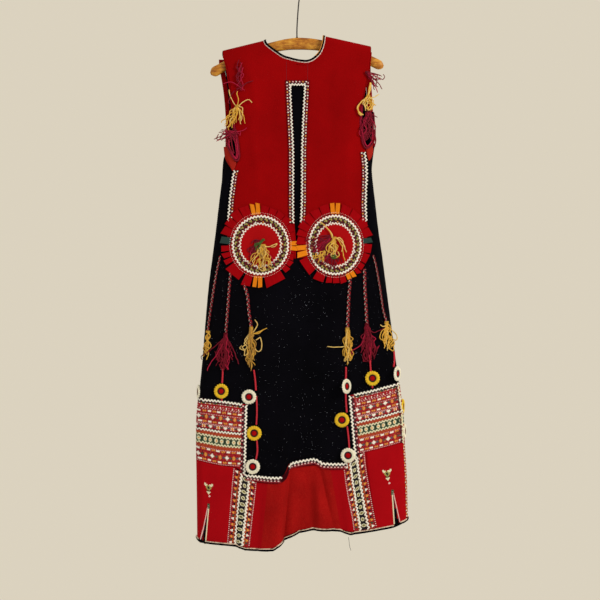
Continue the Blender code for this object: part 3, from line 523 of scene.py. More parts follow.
def dense(k, z):
    return np.interp(z, GRID_Z, DENSE[k])


def wave(x, z, seed):
    """Slow unevenness of hand-woven cloth, in mm."""
    return (
        0.35 * np.sin(x / 23.0 + 1.3 * np.sin(z / 61.0 + seed)) * np.sin(z / 47.0 + seed)
        + 0.22 * np.sin(x / 11.0 - z / 29.0 + 2 * seed)
        + 0.12 * np.sin(x / 5.3 + z / 9.7 + seed) * np.sin(z / 7.9)
    )


def folds_fast(rows, x, z):
    total = np.zeros_like(x)
    for _, start, full, x_start, x_hem, left, right, height in rows:
        along = np.clip((z - start) / (-1290.0 - start), 0, 1)
        offset = x - (x_start + along * (x_hem - x_start))
        reach = np.where(offset < 0, left, right)
        share = np.clip((z - start) / (full - start), 0, 1)
        total += height * share * share * (3 - 2 * share) * np.exp(-((offset / reach) ** 2))
    return total


def creases_fast(x, z, seed):
    total = wave(x, z, seed)
    for start, end, x_start, x_end, reach, height in CREASES:
        along = np.clip((z - start) / (end - start), 0, 1)
        offset = (x if seed < 2 else -x) - (x_start + along * (x_end - x_start))
        fade = np.sin(np.pi * along) if end > -1300 else np.sin(np.pi / 2 * along)
        total += height * fade * np.exp(-((offset / reach) ** 2))
    return total


def depth_fast(x, z, facing):
    left, right = dense(1, z), dense(2, z)
    side = np.clip(np.abs((2 * x - left - right) / (right - left)), 0, 1)
    flat = dense(3 if facing < 0 else 4, z) * (1 - SIDE_FLATTEN * side**2.2)
    inside = np.clip(np.minimum(x - left, right - x), 0.03, SIDE_ROUND) / SIDE_ROUND
    at_side = np.sqrt(1 - (1 - inside) ** 2)
    at_side = at_side + (1 - at_side) * np.interp(z, GRID_Z, ARM_DENSE)
    top = np.clip(np.interp(x, SHOULDER_X, SHOULDER_Z) - z, 0.03, TOP_ROUND) / TOP_ROUND
    at_top = np.sqrt(1 - (1 - top) ** 2)
    rows = FRONT_FOLDS if facing < 0 else BACK_FOLDS
    seed = 0.7 if facing < 0 else 2.9
    return (flat + folds_fast(rows, x, z) + creases_fast(x, z, seed)) * at_side * at_top


def wall_xyz(facing, x, z, out):
    """Points out mm off the middle of the front (-1) or back (1) wall, in metres."""
    x, z = np.asarray(x, float), np.asarray(z, float)
    start = 0.0 if facing < 0 else BACK_START
    left, right = dense(1, z), dense(2, z)
    inner = np.clip(x, left + 0.1, right - 0.1)
    slope_x = (depth_fast(inner + 0.05, z, facing) - depth_fast(inner - 0.05, z, facing)) * 10 * facing
    slope_z = (depth_fast(x, z + 0.5, facing) - depth_fast(x, z - 0.5, facing)) * facing
    y = facing * depth_fast(x, z, facing) + start * (facing > 0)
    normal = np.stack([-slope_x, np.ones_like(x), -slope_z], -1) * facing
    normal /= np.linalg.norm(normal, axis=-1, keepdims=True)
    base = np.stack([x, y, z], -1)
    return (base + normal * np.asarray(out, float)[..., None]) * MM


# front_point and back_point are only used as names for the wall that a piece lies on
FACING = {front_point: -1, back_point: 1}


# ------------------------------------------------------------------ meshes
def make(name, verts, faces, mats, marks=None, soft=True):
    mesh = bpy.data.meshes.new(name)
    mesh.from_pydata([tuple(v) for v in verts], [], [tuple(f) for f in faces])
    for mat in mats if isinstance(mats, (list, tuple)) else [mats]:
        mesh.materials.append(mat)
    if marks is not None:
        mesh.polygons.foreach_set("material_index", np.asarray(marks, np.int32))
    mesh.polygons.foreach_set("use_smooth", np.full(len(mesh.polygons), soft))
    mesh.update()
    obj = bpy.data.objects.new(name, mesh)
    bpy.context.scene.collection.objects.link(obj)
    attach(obj, "root")
    return obj


class Pile:
    """Many small shapes gathered in one mesh, each face with its own material."""

    def __init__(self):
        self.verts, self.faces, self.marks, self.count = [], [], [], 0

    def add(self, verts, faces, mark):
        verts = np.asarray(verts, float)
        self.verts.append(verts)
        self.faces.extend(tuple(k + self.count for k in face) for face in faces)
        self.marks.extend([mark] * len(faces))
        self.count += len(verts)

    def done(self, name, mats, soft=True):
        return make(name, np.concatenate(self.verts), self.faces, mats, self.marks, soft)


def resample(values, parts, axis):
    """Values between the rows of a control net, through a curve that never overshoots."""
    v = np.moveaxis(np.asarray(values, float), axis, 0)
    steps = np.diff(v, axis=0)
    slope = np.zeros_like(v)
    same = (steps[:-1] * steps[1:]) > 0
    slope[1:-1] = np.where(same, 0.5 * (steps[:-1] + steps[1:]), 0.0)
    slope[0], slope[-1] = steps[0], steps[-1]
    cap = 2.5 * np.abs(steps)
    slope[:-1] = np.sign(slope[:-1]) * np.minimum(np.abs(slope[:-1]), cap)
    slope[1:] = np.sign(slope[1:]) * np.minimum(np.abs(slope[1:]), cap)
    out = []
    for k, n in enumerate(parts):
        for t in np.arange(n) / n:
            out.append(
                v[k]
                + (3 * t * t - 2 * t**3) * steps[k]
                + slope[k] * t * (1 - t) ** 2
                - slope[k + 1] * t * t * (1 - t)
            )
    out.append(v[-1])
    return np.moveaxis(np.array(out), 0, axis)


PITCH = 4.0
# The CAD tables name a colour for each cloth; here MATERIALS gives it
BLACK = RED = CRIMSON = ORANGE = BRICK = CREAM = YELLOW = GOLD = WHITE = CORD_RED = None
MATERIALS = {}
SHEETS = {}


def sheet(name, columns, rows, flat, point, inner, outer, colour, roughness=0.9, hole=None, closed=False):
    """The fine copy of one of the CAD model's cloths, with both faces, its cut edges and its creases."""
    facing = FACING[point]
    net = np.array([[flat(i, j) for i in range(columns + 1)] for j in range(rows + 1)], float)
    wide = [max(1, int(round(np.abs(np.diff(net[:, :, 0], axis=1))[:, k].mean() / PITCH))) for k in range(columns)]
    tall = [max(1, int(round(np.abs(np.diff(net[:, :, 1], axis=0))[k].mean() / PITCH))) for k in range(rows)]
    fine = np.stack([resample(resample(net[:, :, c], tall, 0), wide, 1) for c in (0, 1)], -1)
    height, width = fine.shape[:2]
    keep = np.ones((height - 1, width - 1), bool)
    if hole:
        own_i = np.repeat(np.arange(columns), wide)
        own_j = np.repeat(np.arange(rows), tall)
        for j in range(height - 1):
            for i in range(width - 1):
                keep[j, i] = not hole(own_i[i], own_j[j])
    # Rows that run the other way round turn the faces
    ring = np.concatenate([fine[0], fine[1:, -1], fine[-1, -2::-1], fine[-2:0:-1, 0]])
    turned = np.sum(ring[:, 0] * np.roll(ring[:, 1], -1) - ring[:, 1] * np.roll(ring[:, 0], -1)) > 0
    x, z = fine[..., 0].ravel(), fine[..., 1].ravel()
    back, front = wall_xyz(facing, x, z, np.full_like(x, inner)), wall_xyz(facing, x, z, np.full_like(x, outer))
    verts = np.concatenate([front, back])
    total = height * width
    j, i = np.nonzero(keep)
    a, b = j * width + i, j * width + i + 1
    c, d = (j + 1) * width + i + 1, (j + 1) * width + i
    outward = np.stack([a, d, c, b], -1)
    inward = np.stack([a, b, c, d], -1) + total
    if (facing > 0) != turned:
        outward, inward = outward[:, ::-1], inward[:, ::-1]
    pad = np.zeros((height + 1, width + 1), bool)
    pad[1:-1, 1:-1] = keep
    rim = []
    for jj in range(height):
        for ii in range(width - 1):
            above, below = pad[jj, ii + 1], pad[jj + 1, ii + 1]
            if above != below:
                p, q = jj * width + ii, jj * width + ii + 1
                rim.append((p, q, q + total, p + total) if below else (q, p, p + total, q + total))
    for ii in range(width):
        for jj in range(height - 1):
            left, right = pad[jj + 1, ii], pad[jj + 1, ii + 1]
            if left != right:
                p, q = jj * width + ii, (jj + 1) * width + ii
                rim.append((q, p, p + total, q + total) if right else (p, q, q + total, p + total))
    rim = np.array(rim)
    if (facing > 0) != turned:
        rim = rim[:, ::-1]
    made = make(name + "_cloth", verts, np.concatenate([outward, inward, rim]).tolist(), MATERIALS[name])
    for polygon in list(made.data.polygons)[2 * len(outward) :]:
        polygon.use_smooth = False
    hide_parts(name)
    SHEETS[name] = made
    return made


def ride_all(obj, *nodes):
    if nodes:
        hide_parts(*nodes)
    return obj

# ------------------------------------------------------------------ the two walls of the body
def column_x(z, k):
    return straight(tuple(zip(COLUMN_HEIGHTS, COLUMNS[k][1:])), z)


def front_edge(z, side):
    """x of the front wall's free edge or side fold."""
    if side < 0:
        return straight(ARM_LEFT, z) if z >= -420 else smooth(OUTLINE, z, 1)
    return straight(ARM_RIGHT, z) if z >= -389 else smooth(OUTLINE, z, 2)


def front_row_height(row, share):
    left, right = FRONT_ROWS[row]
    return between(left, right, share)


LAST_COLUMN = len(COLUMNS) + 2 * len(EDGE_STEPS) - 1
TOP_ROWS = len(TOP_STEPS)


def column_spot(i, z, left, right):
    if i < len(EDGE_STEPS):
        return left + EDGE_STEPS[i]
    if i > LAST_COLUMN - len(EDGE_STEPS):
        return right - EDGE_STEPS[LAST_COLUMN - i]
    return column_x(z, i - len(EDGE_STEPS))


def neck_or_shoulder(x, neck):
    return straight(neck, x) if neck[0][0] < x < neck[-1][0] else straight(SHOULDER, x)


def front_flat(i, j):
    if j < TOP_ROWS:
        x = column_spot(i, -195, straight(ARM_LEFT, -170), straight(ARM_RIGHT, -160))
        return x, neck_or_shoulder(x, NECK) - TOP_STEPS[j]
    row = j - TOP_ROWS
    if row == len(FRONT_ROWS):
        x = column_spot(i, -1290, smooth(OUTLINE, -1280, 1), smooth(OUTLINE, -1240, 2))
        return x, straight(HEM, x)
    share = i / LAST_COLUMN
    z = front_row_height(row, share)
    ends = FRONT_ROWS[row]
    left, right = front_edge(ends[0], -1), front_edge(ends[1], 1)
    if row == UNDERARM_ROW:
        left, right = smooth(OUTLINE, -404, 1), smooth(OUTLINE, -381, 2)
    x = column_spot(i, z, left, right)
    if row == UNDERARM_ROW:
        near_left = max(0.0, 1 - (x - left) / 30)
        near_right = max(0.0, 1 - (right - x) / 22)
        z += UNDERARM_RISE[0] * near_left + UNDERARM_RISE[1] * near_right
    return x, z


def body():
    sheet(
        "front_body",
        LAST_COLUMN,
        TOP_ROWS + len(FRONT_ROWS),
        front_flat,
        front_point,
        -WOOL / 2,
        WOOL / 2,
        BLACK,
    )

    columns = (-1.0, -0.96, -0.86, -0.70, -0.5, -0.3, -0.12, 0.05, 0.2, 0.35, 0.5, 0.7, 0.86, 0.96, 1.0)
    rows = (-196, -225, -260, -300, -340, -375, -396)
    lower = (-440, -490, -545, -600, -660, -720, -780, -840, -900, -960, -1015, -1065, -1110, -1150, -1190, -1222)
    neck_x = (-82, -78.5, -58, -22, 8, 32, 54, 56.5)
    band = ARM_BAND + SEAM

    def flat(i, j):
        if i < len(EDGE_STEPS):
            spot = ("left", EDGE_STEPS[i])
        elif i > 24 - len(EDGE_STEPS):
            spot = ("right", EDGE_STEPS[24 - i])
        else:
            spot = ("between", i - len(EDGE_STEPS))
        middles = (-135, -108, *neck_x[:8], 78, 100, 122, 134, 142)

        def at(z, left, right):
            if spot[0] == "left":
                return left + spot[1]
            if spot[0] == "right":
                return right - spot[1]
            top = middles[spot[1]]
            spread = (spot[1] + 1) / 16
            low = left + 14 + (right - left - 28) * spread
            return between(top, low, ramp(-z, 190, 520))

        if j < TOP_ROWS:
            left, right = smooth(OUTLINE, -165, 1) + band, smooth(OUTLINE, -155, 2) - band
            x = at(-180, left, right)
            return x, neck_or_shoulder(x, NECK_BACK) - TOP_STEPS[j]
        row = j - TOP_ROWS
        if row < len(rows):
            z = rows[row]
            left, right = smooth(OUTLINE, z, 1) + band, smooth(OUTLINE, z, 2) - band
            x = at(z, left, right)
            return x, min(z, neck_or_shoulder(x, NECK_BACK) - 14 - 4 * row)
        row -= len(rows)
        z = -408 if row == 0 else (*lower, 0)[row - 1]
        if row <= len(lower):
            return at(z, smooth(OUTLINE, z, 1), smooth(OUTLINE, z, 2)), z
        x = at(-1280, smooth(OUTLINE, -1270, 1), smooth(OUTLINE, -1240, 2))
        return x, straight(HEM_BACK, x)

    sheet(
        "back_body",
        24,
        TOP_ROWS + len(rows) + len(lower) + 1,
        flat,
        back_point,
        -WOOL / 2,
        WOOL / 2,
        BLACK,
    )


ARM_BAND = 12.0  # width of the red band round the back of each armhole


def armhole_bands():
    heights = (-180, -196, -225, -260, -300, -340, -375, -392)
    for name, side in (("back_armhole_band_l", -1), ("back_armhole_band_r", 1)):
        column = 1 if side < 0 else 2

        def flat(i, j, side=side, column=column):
            z = heights[j]
            top = -165 if side < 0 else -155
            edge = smooth(OUTLINE, top if j == 0 else z, column)
            return edge - side * i * ARM_BAND / 2, z

        sheet(name, 2, len(heights) - 1, flat, back_point, -WOOL / 2, WOOL / 2, RED)



def bib():
    names = [column[0] for column in BIB_COLUMNS]
    slot_left = names.index("slot_left") + 2

    def flat(i, j):
        count = len(BIB_COLUMNS) + 3

        def spot(z, left, right):
            if i < 2:
                return left + 14 * i
            if i > count - 2:
                return right - 14 * (count - i)
            name, neck, low, foot = BIB_COLUMNS[i - 2]
            if name == "slot_left":
                return straight(SLOT, z, 1)
            if name == "slot_right":
                return straight(SLOT, z, 2)
            return straight(((-195, neck), (-250, low), (-660, foot)), z)

        inset = 1.0
        if j < TOP_ROWS:
            left, right = straight(ARM_LEFT, -170) + inset, straight(ARM_RIGHT, -160) - inset
            x = spot(-190, left, right)
            return x, neck_or_shoulder(x, NECK) - TOP_STEPS[j]
        row = j - TOP_ROWS
        z = front_row_height(row, i / count)
        ends = FRONT_ROWS[row]
        left = (straight(ARM_LEFT, ends[0]) if ends[0] >= -420 else straight(BIB_LEFT, ends[0])) + inset
        right = (straight(ARM_RIGHT, ends[1]) if ends[1] >= -389 else straight(BIB_RIGHT, ends[1])) - inset
        return spot(z, left, right), z

    first = TOP_ROWS + 2  # the row on which the slot starts
    sheet(
        "front_bib",
        len(BIB_COLUMNS) + 3,
        TOP_ROWS + BIB_ROWS - 1,
        flat,
        front_point,
        *LAID,
        RED,
        hole=lambda i, j: i == slot_left and j >= first,
    )


def strip(name, inner, outer, layer, colour, across=2, point=front_point):
    """A trim between two lines that have the same number of points."""

    def flat(i, j):
        share = i / across
        return (
            between(inner[j][0], outer[j][0], share),
            between(inner[j][1], outer[j][1], share),
        )

    sheet(name, across, len(inner) - 1, flat, point, *layer, colour)



def column(name):
    """x of one of the body's columns at a height."""
    k = [row[0] for row in COLUMNS].index(name)
    return lambda z: column_x(z, k)


def side_column(step, side):
    return lambda z: smooth(OUTLINE, z, 1 if side < 0 else 2) - side * EDGE_STEPS[step]


def panel(name, columns, head, foot, rows, layer, colour, head_gap=0.0, foot_gap=0.0):
    """A piece between two of the body's columns, on the columns between them, from one line down to another."""

    def flat(i, j):
        share = j / rows
        x = columns[i](head(0.0))
        for _ in range(3):
            z = between(head(x) - head_gap, foot(x) + foot_gap, share)
            x = columns[i](z)
        return x, z

    sheet(name, len(columns) - 1, rows, flat, front_point, *layer, colour)


def line_of(rows):
    return lambda x: straight(rows, x)


def shifted(spot, by):
    return lambda z: spot(z) + by


def hem():
    left_sides = [side_column(k, -1) for k in (1, 2, 3, 4)]
    right_sides = [side_column(k, 1) for k in (4, 3, 2, 1)]
    half = SEAM / 2
    panel(
        "embroidered_panel_l",
        [*left_sides, column("left_mid"), column("left_band_out"), column("left_panel_edge")],
        line_of(LEFT_PANEL_TOP),
        line_of(LEFT_PANEL_FOOT),
        4,
        HEM_LAID,
        CREAM,
    )
    panel(
        "embroidered_panel_r",
        [column("right_panel_edge"), column("right_band_out"), column("right_mid"), *right_sides],
        line_of(RIGHT_PANEL_TOP),
        line_of(RIGHT_PANEL_FOOT),
        4,
        HEM_LAID,
        CREAM,
    )
    hem_line = line_of(HEM)
    panel(
        "side_hem_l",
        [*left_sides, column("left_mid"), shifted(column("left_band_out"), -half)],
        line_of(LEFT_PANEL_FOOT),
        hem_line,
        5,
        HEM_LAID,
        RED,
        head_gap=SEAM,
    )
    panel(
        "side_hem_r",
        [shifted(column("right_band_out"), half), column("right_mid"), *right_sides],
        line_of(RIGHT_PANEL_FOOT),
        hem_line,
        5,
        HEM_LAID,
        RED,
        head_gap=SEAM,
    )
    head_l = line_of((*LEFT_PANEL_FOOT[:-1], (-124.5, -1131.5), (-90, -1134.5)))
    panel(
        "vertical_band_l",
        [shifted(column("left_band_out"), half), column("left_panel_edge"), shifted(column("left_band_in"), -half)],
        head_l,
        hem_line,
        5,
        HEM_LAID,
        ORANGE,
        head_gap=SEAM,
    )
    head_r = line_of(((95, -1106), (122, -1103), (128, -1084.5), *RIGHT_PANEL_FOOT[1:]))
    panel(
        "vertical_band_r",
        [shifted(column("right_band_in"), half), column("right_panel_edge"), shifted(column("right_band_out"), -half)],
        head_r,
        hem_line,
        5,
        HEM_LAID,
        ORANGE,
        head_gap=SEAM,
    )
    middle = [
        column(name)
        for name in (
            "left_hem_mid",
            "fold_rise",
            "fold_top",
            "fold_edge",
            "fold_foot",
            "centre",
            "crease_foot",
            "crease_top",
            "right_hem_mid",
        )
    ]
    centre = [shifted(column("left_band_in"), half), *middle, shifted(column("right_band_in"), -half)]
    head = line_of(CENTRE_HEAD)
    panel("centre_hem", centre, head, hem_line, 6, HEM_LAID, BRICK)
    panel(
        "hem_top_trim",
        centre,
        head,
        lambda x: head(x) - TRIM_HEIGHT,
        1,
        ON_HEM,
        CREAM,
    )
    every = [
        *left_sides,
        column("left_mid"),
        column("left_band_out"),
        column("left_panel_edge"),
        column("left_band_in"),
        *middle,
        column("right_band_in"),
        column("right_panel_edge"),
        column("right_band_out"),
        column("right_mid"),
        *right_sides,
    ]
    panel(
        "hem_binding",
        every,
        lambda x: hem_line(x) + BINDING_HEIGHT,
        hem_line,
        1,
        ON_HEM,
        BLACK,
    )

    # Red band round the back of the hem
    def flat(i, j):
        spread = (i - 5) / 14
        z = -1270.0
        for _ in range(3):
            left, right = smooth(OUTLINE, z, 1), smooth(OUTLINE, z, 2)
            if i < 5:
                x = left + EDGE_STEPS[i]
            elif i > 19:
                x = right - EDGE_STEPS[24 - i]
            else:
                x = between(left + 14, right - 14, (i - 4) / 16)
            z = straight(HEM_BACK, x) + BACK_HEM_HEIGHT * (1 - j / 5)
        return x, z

    sheet("back_hem", 24, 5, flat, back_point, *LAID, RED)



# ------------------------------------------------------------------ materials
def nodes_of(name, rough, sheen=0.0, sheen_tint=(1, 1, 1, 1), metallic=0.0, coat=0.0, specular=0.3):
    mat = bpy.data.materials.new(name)
    mat.use_nodes = True
    tree = mat.node_tree
    shader = tree.nodes["Principled BSDF"]
    shader.inputs["Roughness"].default_value = rough
    shader.inputs["Metallic"].default_value = metallic
    shader.inputs["Sheen Weight"].default_value = sheen
    shader.inputs["Sheen Roughness"].default_value = 0.5
    shader.inputs["Sheen Tint"].default_value = sheen_tint
    shader.inputs["Coat Weight"].default_value = coat
    shader.inputs["Coat Roughness"].default_value = 0.2
    shader.inputs["Specular IOR Level"].default_value = specular
    return mat, tree, shader


def noise(tree, scale, detail=3.0, rough=0.55, stretch=None):
    place = tree.nodes.new("ShaderNodeTexCoord")
    made = tree.nodes.new("ShaderNodeTexNoise")
    made.inputs["Scale"].default_value = scale
    made.inputs["Detail"].default_value = detail
    made.inputs["Roughness"].default_value = rough
    if stretch:
        mapping = tree.nodes.new("ShaderNodeMapping")
        mapping.inputs["Scale"].default_value = stretch
        tree.links.new(place.outputs["Object"], mapping.inputs["Vector"])
        tree.links.new(mapping.outputs["Vector"], made.inputs["Vector"])
    else:
        tree.links.new(place.outputs["Object"], made.inputs["Vector"])
    return made.outputs["Fac"]


def ramp_of(tree, fac, stops):
    made = tree.nodes.new("ShaderNodeValToRGB")
    made.color_ramp.elements[0].position, made.color_ramp.elements[0].color = stops[0][0], (*stops[0][1], 1)
    made.color_ramp.elements[1].position, made.color_ramp.elements[1].color = stops[-1][0], (*stops[-1][1], 1)
    for spot, colour in stops[1:-1]:
        made.color_ramp.elements.new(spot).color = (*colour, 1)
    tree.links.new(fac, made.inputs["Fac"])
    return made.outputs["Color"]


def mixed(tree, a, b, fac, kind="MIX"):
    made = tree.nodes.new("ShaderNodeMix")
    made.data_type = "RGBA"
    made.blend_type = kind
    if isinstance(fac, float):
        made.inputs["Factor"].default_value = fac
    else:
        tree.links.new(fac, made.inputs["Factor"])
    tree.links.new(a, made.inputs["A"])
    tree.links.new(b, made.inputs["B"])
    return made.outputs["Result"]


def bump(tree, shader, heights):
    last = None
    for height, strength, distance in heights:
        made = tree.nodes.new("ShaderNodeBump")
        made.inputs["Strength"].default_value = strength
        made.inputs["Distance"].default_value = distance
        tree.links.new(height, made.inputs["Height"])
        if last:
            tree.links.new(last, made.inputs["Normal"])
        last = made.outputs["Normal"]
    tree.links.new(last, shader.inputs["Normal"])


def tone(colour, by):
    return tuple(min(1.0, c * by) for c in colour)


def weave(tree, pitch):
    """Height of a plain weave: two crossed sets of threads, in the plane of the cloth."""
    place = tree.nodes.new("ShaderNodeTexCoord")
    outs = []
    for axis in ("X", "Z"):
        made = tree.nodes.new("ShaderNodeTexWave")
        made.bands_direction = axis
        made.inputs["Scale"].default_value = 0.314 / pitch
        made.inputs["Distortion"].default_value = 0.6
        made.inputs["Detail"].default_value = 1.0
        made.inputs["Detail Scale"].default_value = 0.4
        tree.links.new(place.outputs["Object"], made.inputs["Vector"])
        outs.append(made.outputs["Fac"])
    made = tree.nodes.new("ShaderNodeMath")
    made.operation = "MULTIPLY"
    tree.links.new(outs[0], made.inputs[0])
    tree.links.new(outs[1], made.inputs[1])
    return made.outputs[0]


def wool(name, colour, spread=0.22, patches=0.12, sheen=0.25, weave_pitch=0.0011, fuzz=0.5, patch_scale=11.0):
    mat, tree, shader = nodes_of(name, 0.95, sheen * 0.25, (*tone(colour, 1.6), 1), specular=0.03)
    fine = ramp_of(tree, noise(tree, 850, 4, 0.65), [(0.28, tone(colour, 1 - spread)), (0.72, tone(colour, 1 + spread))])
    wide = ramp_of(tree, noise(tree, patch_scale, 3, 0.6), [(0.3, (1 - patches,) * 3), (0.7, (1 + patches,) * 3)])
    shade = mixed(tree, fine, wide, 1.0, "MULTIPLY")
    tree.links.new(shade, shader.inputs["Base Color"])
    bump(tree, shader, [(weave(tree, weave_pitch), 0.35, 0.0004), (noise(tree, 1400, 4, 0.7), fuzz, 0.0006)])
    return mat


def yarn_stuff(name, colour, spread=0.3, rough=0.8, sheen=0.3):
    mat, tree, shader = nodes_of(name, rough, sheen, (*tone(colour, 1.4), 1), specular=0.2)
    fine = ramp_of(tree, noise(tree, 520, 3, 0.6), [(0.3, tone(colour, 1 - spread)), (0.7, tone(colour, 1 + spread))])
    tree.links.new(fine, shader.inputs["Base Color"])
    bump(tree, shader, [(noise(tree, 1600, 3, 0.6), 0.6, 0.0004)])
    return mat


BIB_RED = (0.262, 0.0012, 0.0018)
HEM_RED = (0.355, 0.0025, 0.0055)
BRICK_RED = (0.31, 0.0085, 0.0075)
MAT_BLACK = wool("black_wool", (0.0020, 0.0018, 0.0030), 0.5, 0.25, 0.0, 0.0013, 0.8)
MAT_BLACK_BACK = wool("black_wool_back", (0.0024, 0.0022, 0.0034), 0.5, 0.25, 0.0, 0.0013, 0.8)
MAT_BIB = wool("red_felt", BIB_RED, 0.14, 0.14, 0.12, 0.0009, 0.5, 7.0)
MAT_DISC = wool("red_felt_disc", (0.36, 0.004, 0.005), 0.14, 0.08, 0.12, 0.0009, 0.5)
MAT_TAB = wool("red_felt_tabs", (0.30, 0.0015, 0.0035), 0.14, 0.1, 0.15, 0.0008, 0.5)
MAT_HEM = wool("red_hem_cloth", HEM_RED, 0.1, 0.08, 0.12, 0.0009, 0.4)


def seamed_cloth():
    """Worn, paler cloth in the middle and fresh crimson strips beyond two slanting seams."""
    mat, tree, shader = nodes_of("worn_red_cloth", 0.95, 0.03, (0.9, 0.2, 0.15, 1), specular=0.03)
    worn = ramp_of(tree, noise(tree, 620, 4, 0.7), [(0.25, (0.24, 0.0022, 0.0028)), (0.5, (0.325, 0.0050, 0.0046)), (0.75, (0.42, 0.018, 0.011))])
    wide = ramp_of(tree, noise(tree, 16.0, 3, 0.6), [(0.3, (0.85, 0.85, 0.85)), (0.7, (1.12, 1.12, 1.12))])
    worn = mixed(tree, worn, wide, 1.0, "MULTIPLY")
    fresh = ramp_of(tree, noise(tree, 850, 4, 0.65), [(0.28, tone(HEM_RED, 0.85)), (0.72, tone(HEM_RED, 1.05))])
    place = tree.nodes.new("ShaderNodeTexCoord")
    split = tree.nodes.new("ShaderNodeSeparateXYZ")
    tree.links.new(place.outputs["Object"], split.inputs[0])

    def beyond(slope, offset, sign):
        side = tree.nodes.new("ShaderNodeMath")
        side.operation = "MULTIPLY_ADD"
        side.inputs[1].default_value, side.inputs[2].default_value = slope, offset
        tree.links.new(split.outputs["Z"], side.inputs[0])
        total = tree.nodes.new("ShaderNodeMath")
        total.operation = "ADD"
        tree.links.new(split.outputs["X"], total.inputs[0])
        tree.links.new(side.outputs[0], total.inputs[1])
        test = tree.nodes.new("ShaderNodeMath")
        test.operation = "GREATER_THAN" if sign > 0 else "LESS_THAN"
        test.inputs[1].default_value = 0.0
        tree.links.new(total.outputs[0], test.inputs[0])
        return test.outputs[0]

    left_out, right_out = beyond(-0.10274, -0.045254, -1), beyond(0.17518, 0.127026, 1)
    either = tree.nodes.new("ShaderNodeMath")
    either.operation = "MAXIMUM"
    tree.links.new(left_out, either.inputs[0])
    tree.links.new(right_out, either.inputs[1])
    tree.links.new(mixed(tree, worn, fresh, either.outputs[0]), shader.inputs["Base Color"])
    bump(tree, shader, [(weave(tree, 0.0014), 0.5, 0.0005), (noise(tree, 1100, 4, 0.7), 0.8, 0.0007)])
    return mat


MAT_BRICK = seamed_cloth()
MAT_BRICK_SIDE = wool("worn_red_cloth_side", (0.335, 0.006, 0.008), 0.12, 0.1, 0.12, 0.001, 0.5, 12.0)
MAT_GUSSET = wool("orange_red_cloth", (0.33, 0.016, 0.009), 0.2, 0.1, 0.15)
MAT_UNDER = wool("work_ground", (0.30, 0.006, 0.010), 0.25, 0.1, 0.1)
MAT_DARK_UNDER = wool("dark_ground", (0.035, 0.002, 0.004), 0.3, 0.1, 0.05)
THREADS = {
    "W": yarn_stuff("thread_white", (0.86, 0.80, 0.68), 0.12),
    "C": yarn_stuff("thread_cream", (0.74, 0.68, 0.44), 0.15),
    "K": yarn_stuff("thread_black", (0.008, 0.007, 0.009), 0.3),
    "R": yarn_stuff("thread_red", (0.40, 0.012, 0.020), 0.2),
    "D": yarn_stuff("thread_dark_red", (0.13, 0.006, 0.012), 0.25),
    "O": yarn_stuff("thread_orange", (0.74, 0.30, 0.05), 0.2),
    "G": yarn_stuff("thread_green", (0.035, 0.075, 0.035), 0.25),
    "B": yarn_stuff("thread_blue_grey", (0.075, 0.095, 0.115), 0.25),
    "Y": yarn_stuff("thread_olive", (0.36, 0.30, 0.08), 0.2),
    "P": yarn_stuff("thread_pink", (0.82, 0.50, 0.46), 0.15),
    "T": yarn_stuff("thread_rust", (0.46, 0.085, 0.022), 0.25),
}
LETTERS = list(THREADS)
THREAD_MATS = [THREADS[k] for k in LETTERS]
MAT_CRIMSON = yarn_stuff("crimson_yarn", (0.165, 0.004, 0.014), 0.4, 0.9, 0.1)
MAT_CRIMSON_LIGHT = yarn_stuff("crimson_yarn_light", (0.36, 0.007, 0.034), 0.35, 0.9, 0.1)
MAT_YELLOW = yarn_stuff("yellow_yarn", (0.66, 0.36, 0.045), 0.3)
MAT_YELLOW_PALE = yarn_stuff("yellow_yarn_pale", (0.74, 0.50, 0.15), 0.25)
MAT_OCHRE = yarn_stuff("ochre_yarn", (0.38, 0.20, 0.04), 0.3)
MAT_GREEN = yarn_stuff("green_yarn", (0.055, 0.11, 0.02), 0.3)
MAT_ORANGE = wool("orange_felt", (0.72, 0.20, 0.008), 0.16, 0.1, 0.2, 0.0009, 0.6)
MAT_DARK_GREEN = wool("dark_green_felt", (0.025, 0.05, 0.042), 0.3, 0.15, 0.2, 0.0009, 0.8)
MAT_GOLD = yarn_stuff("gold_crochet", (0.84, 0.55, 0.025), 0.2)
MAT_WHITE = yarn_stuff("white_crochet", (0.88, 0.82, 0.64), 0.14)
MAT_CORD = yarn_stuff("red_cord", (0.50, 0.022, 0.035), 0.2)
MAT_LINT = yarn_stuff("lint", (0.30, 0.31, 0.36), 0.3)
MAT_CREAM_EDGE = yarn_stuff("cream_edge", (0.66, 0.50, 0.36), 0.15)
MAT_RED_YARN = yarn_stuff("red_plait_yarn", (0.33, 0.010, 0.016), 0.3, 0.9, 0.1)


def wood():
    mat, tree, shader = nodes_of("honey_wood", 0.5, coat=0.05, specular=0.25)
    long = noise(tree, 75, 6, 0.7, (0.42, 1.0, 1.0))
    base = ramp_of(tree, long, [(0.34, (0.22, 0.060, 0.005)), (0.46, (0.43, 0.15, 0.011)), (0.60, (0.64, 0.30, 0.032))])
    fine = ramp_of(tree, noise(tree, 340, 4, 0.7, (0.06, 1.0, 1.0)), [(0.35, (0.74, 0.70, 0.66)), (0.6, (1.1, 1.1, 1.1))])
    tree.links.new(mixed(tree, base, fine, 1.0, "MULTIPLY"), shader.inputs["Base Color"])
    bump(tree, shader, [(noise(tree, 300, 3, 0.6, (0.05, 1.0, 1.0)), 0.2, 0.0003)])
    return mat


def dark_wire():
    mat, tree, shader = nodes_of("dark_wire", 0.6, metallic=0.2, specular=0.3)
    base = ramp_of(tree, noise(tree, 400, 3), [(0.3, (0.012, 0.010, 0.009)), (0.7, (0.045, 0.036, 0.028))])
    tree.links.new(base, shader.inputs["Base Color"])
    bump(tree, shader, [(noise(tree, 900, 3), 0.3, 0.0002)])
    return mat


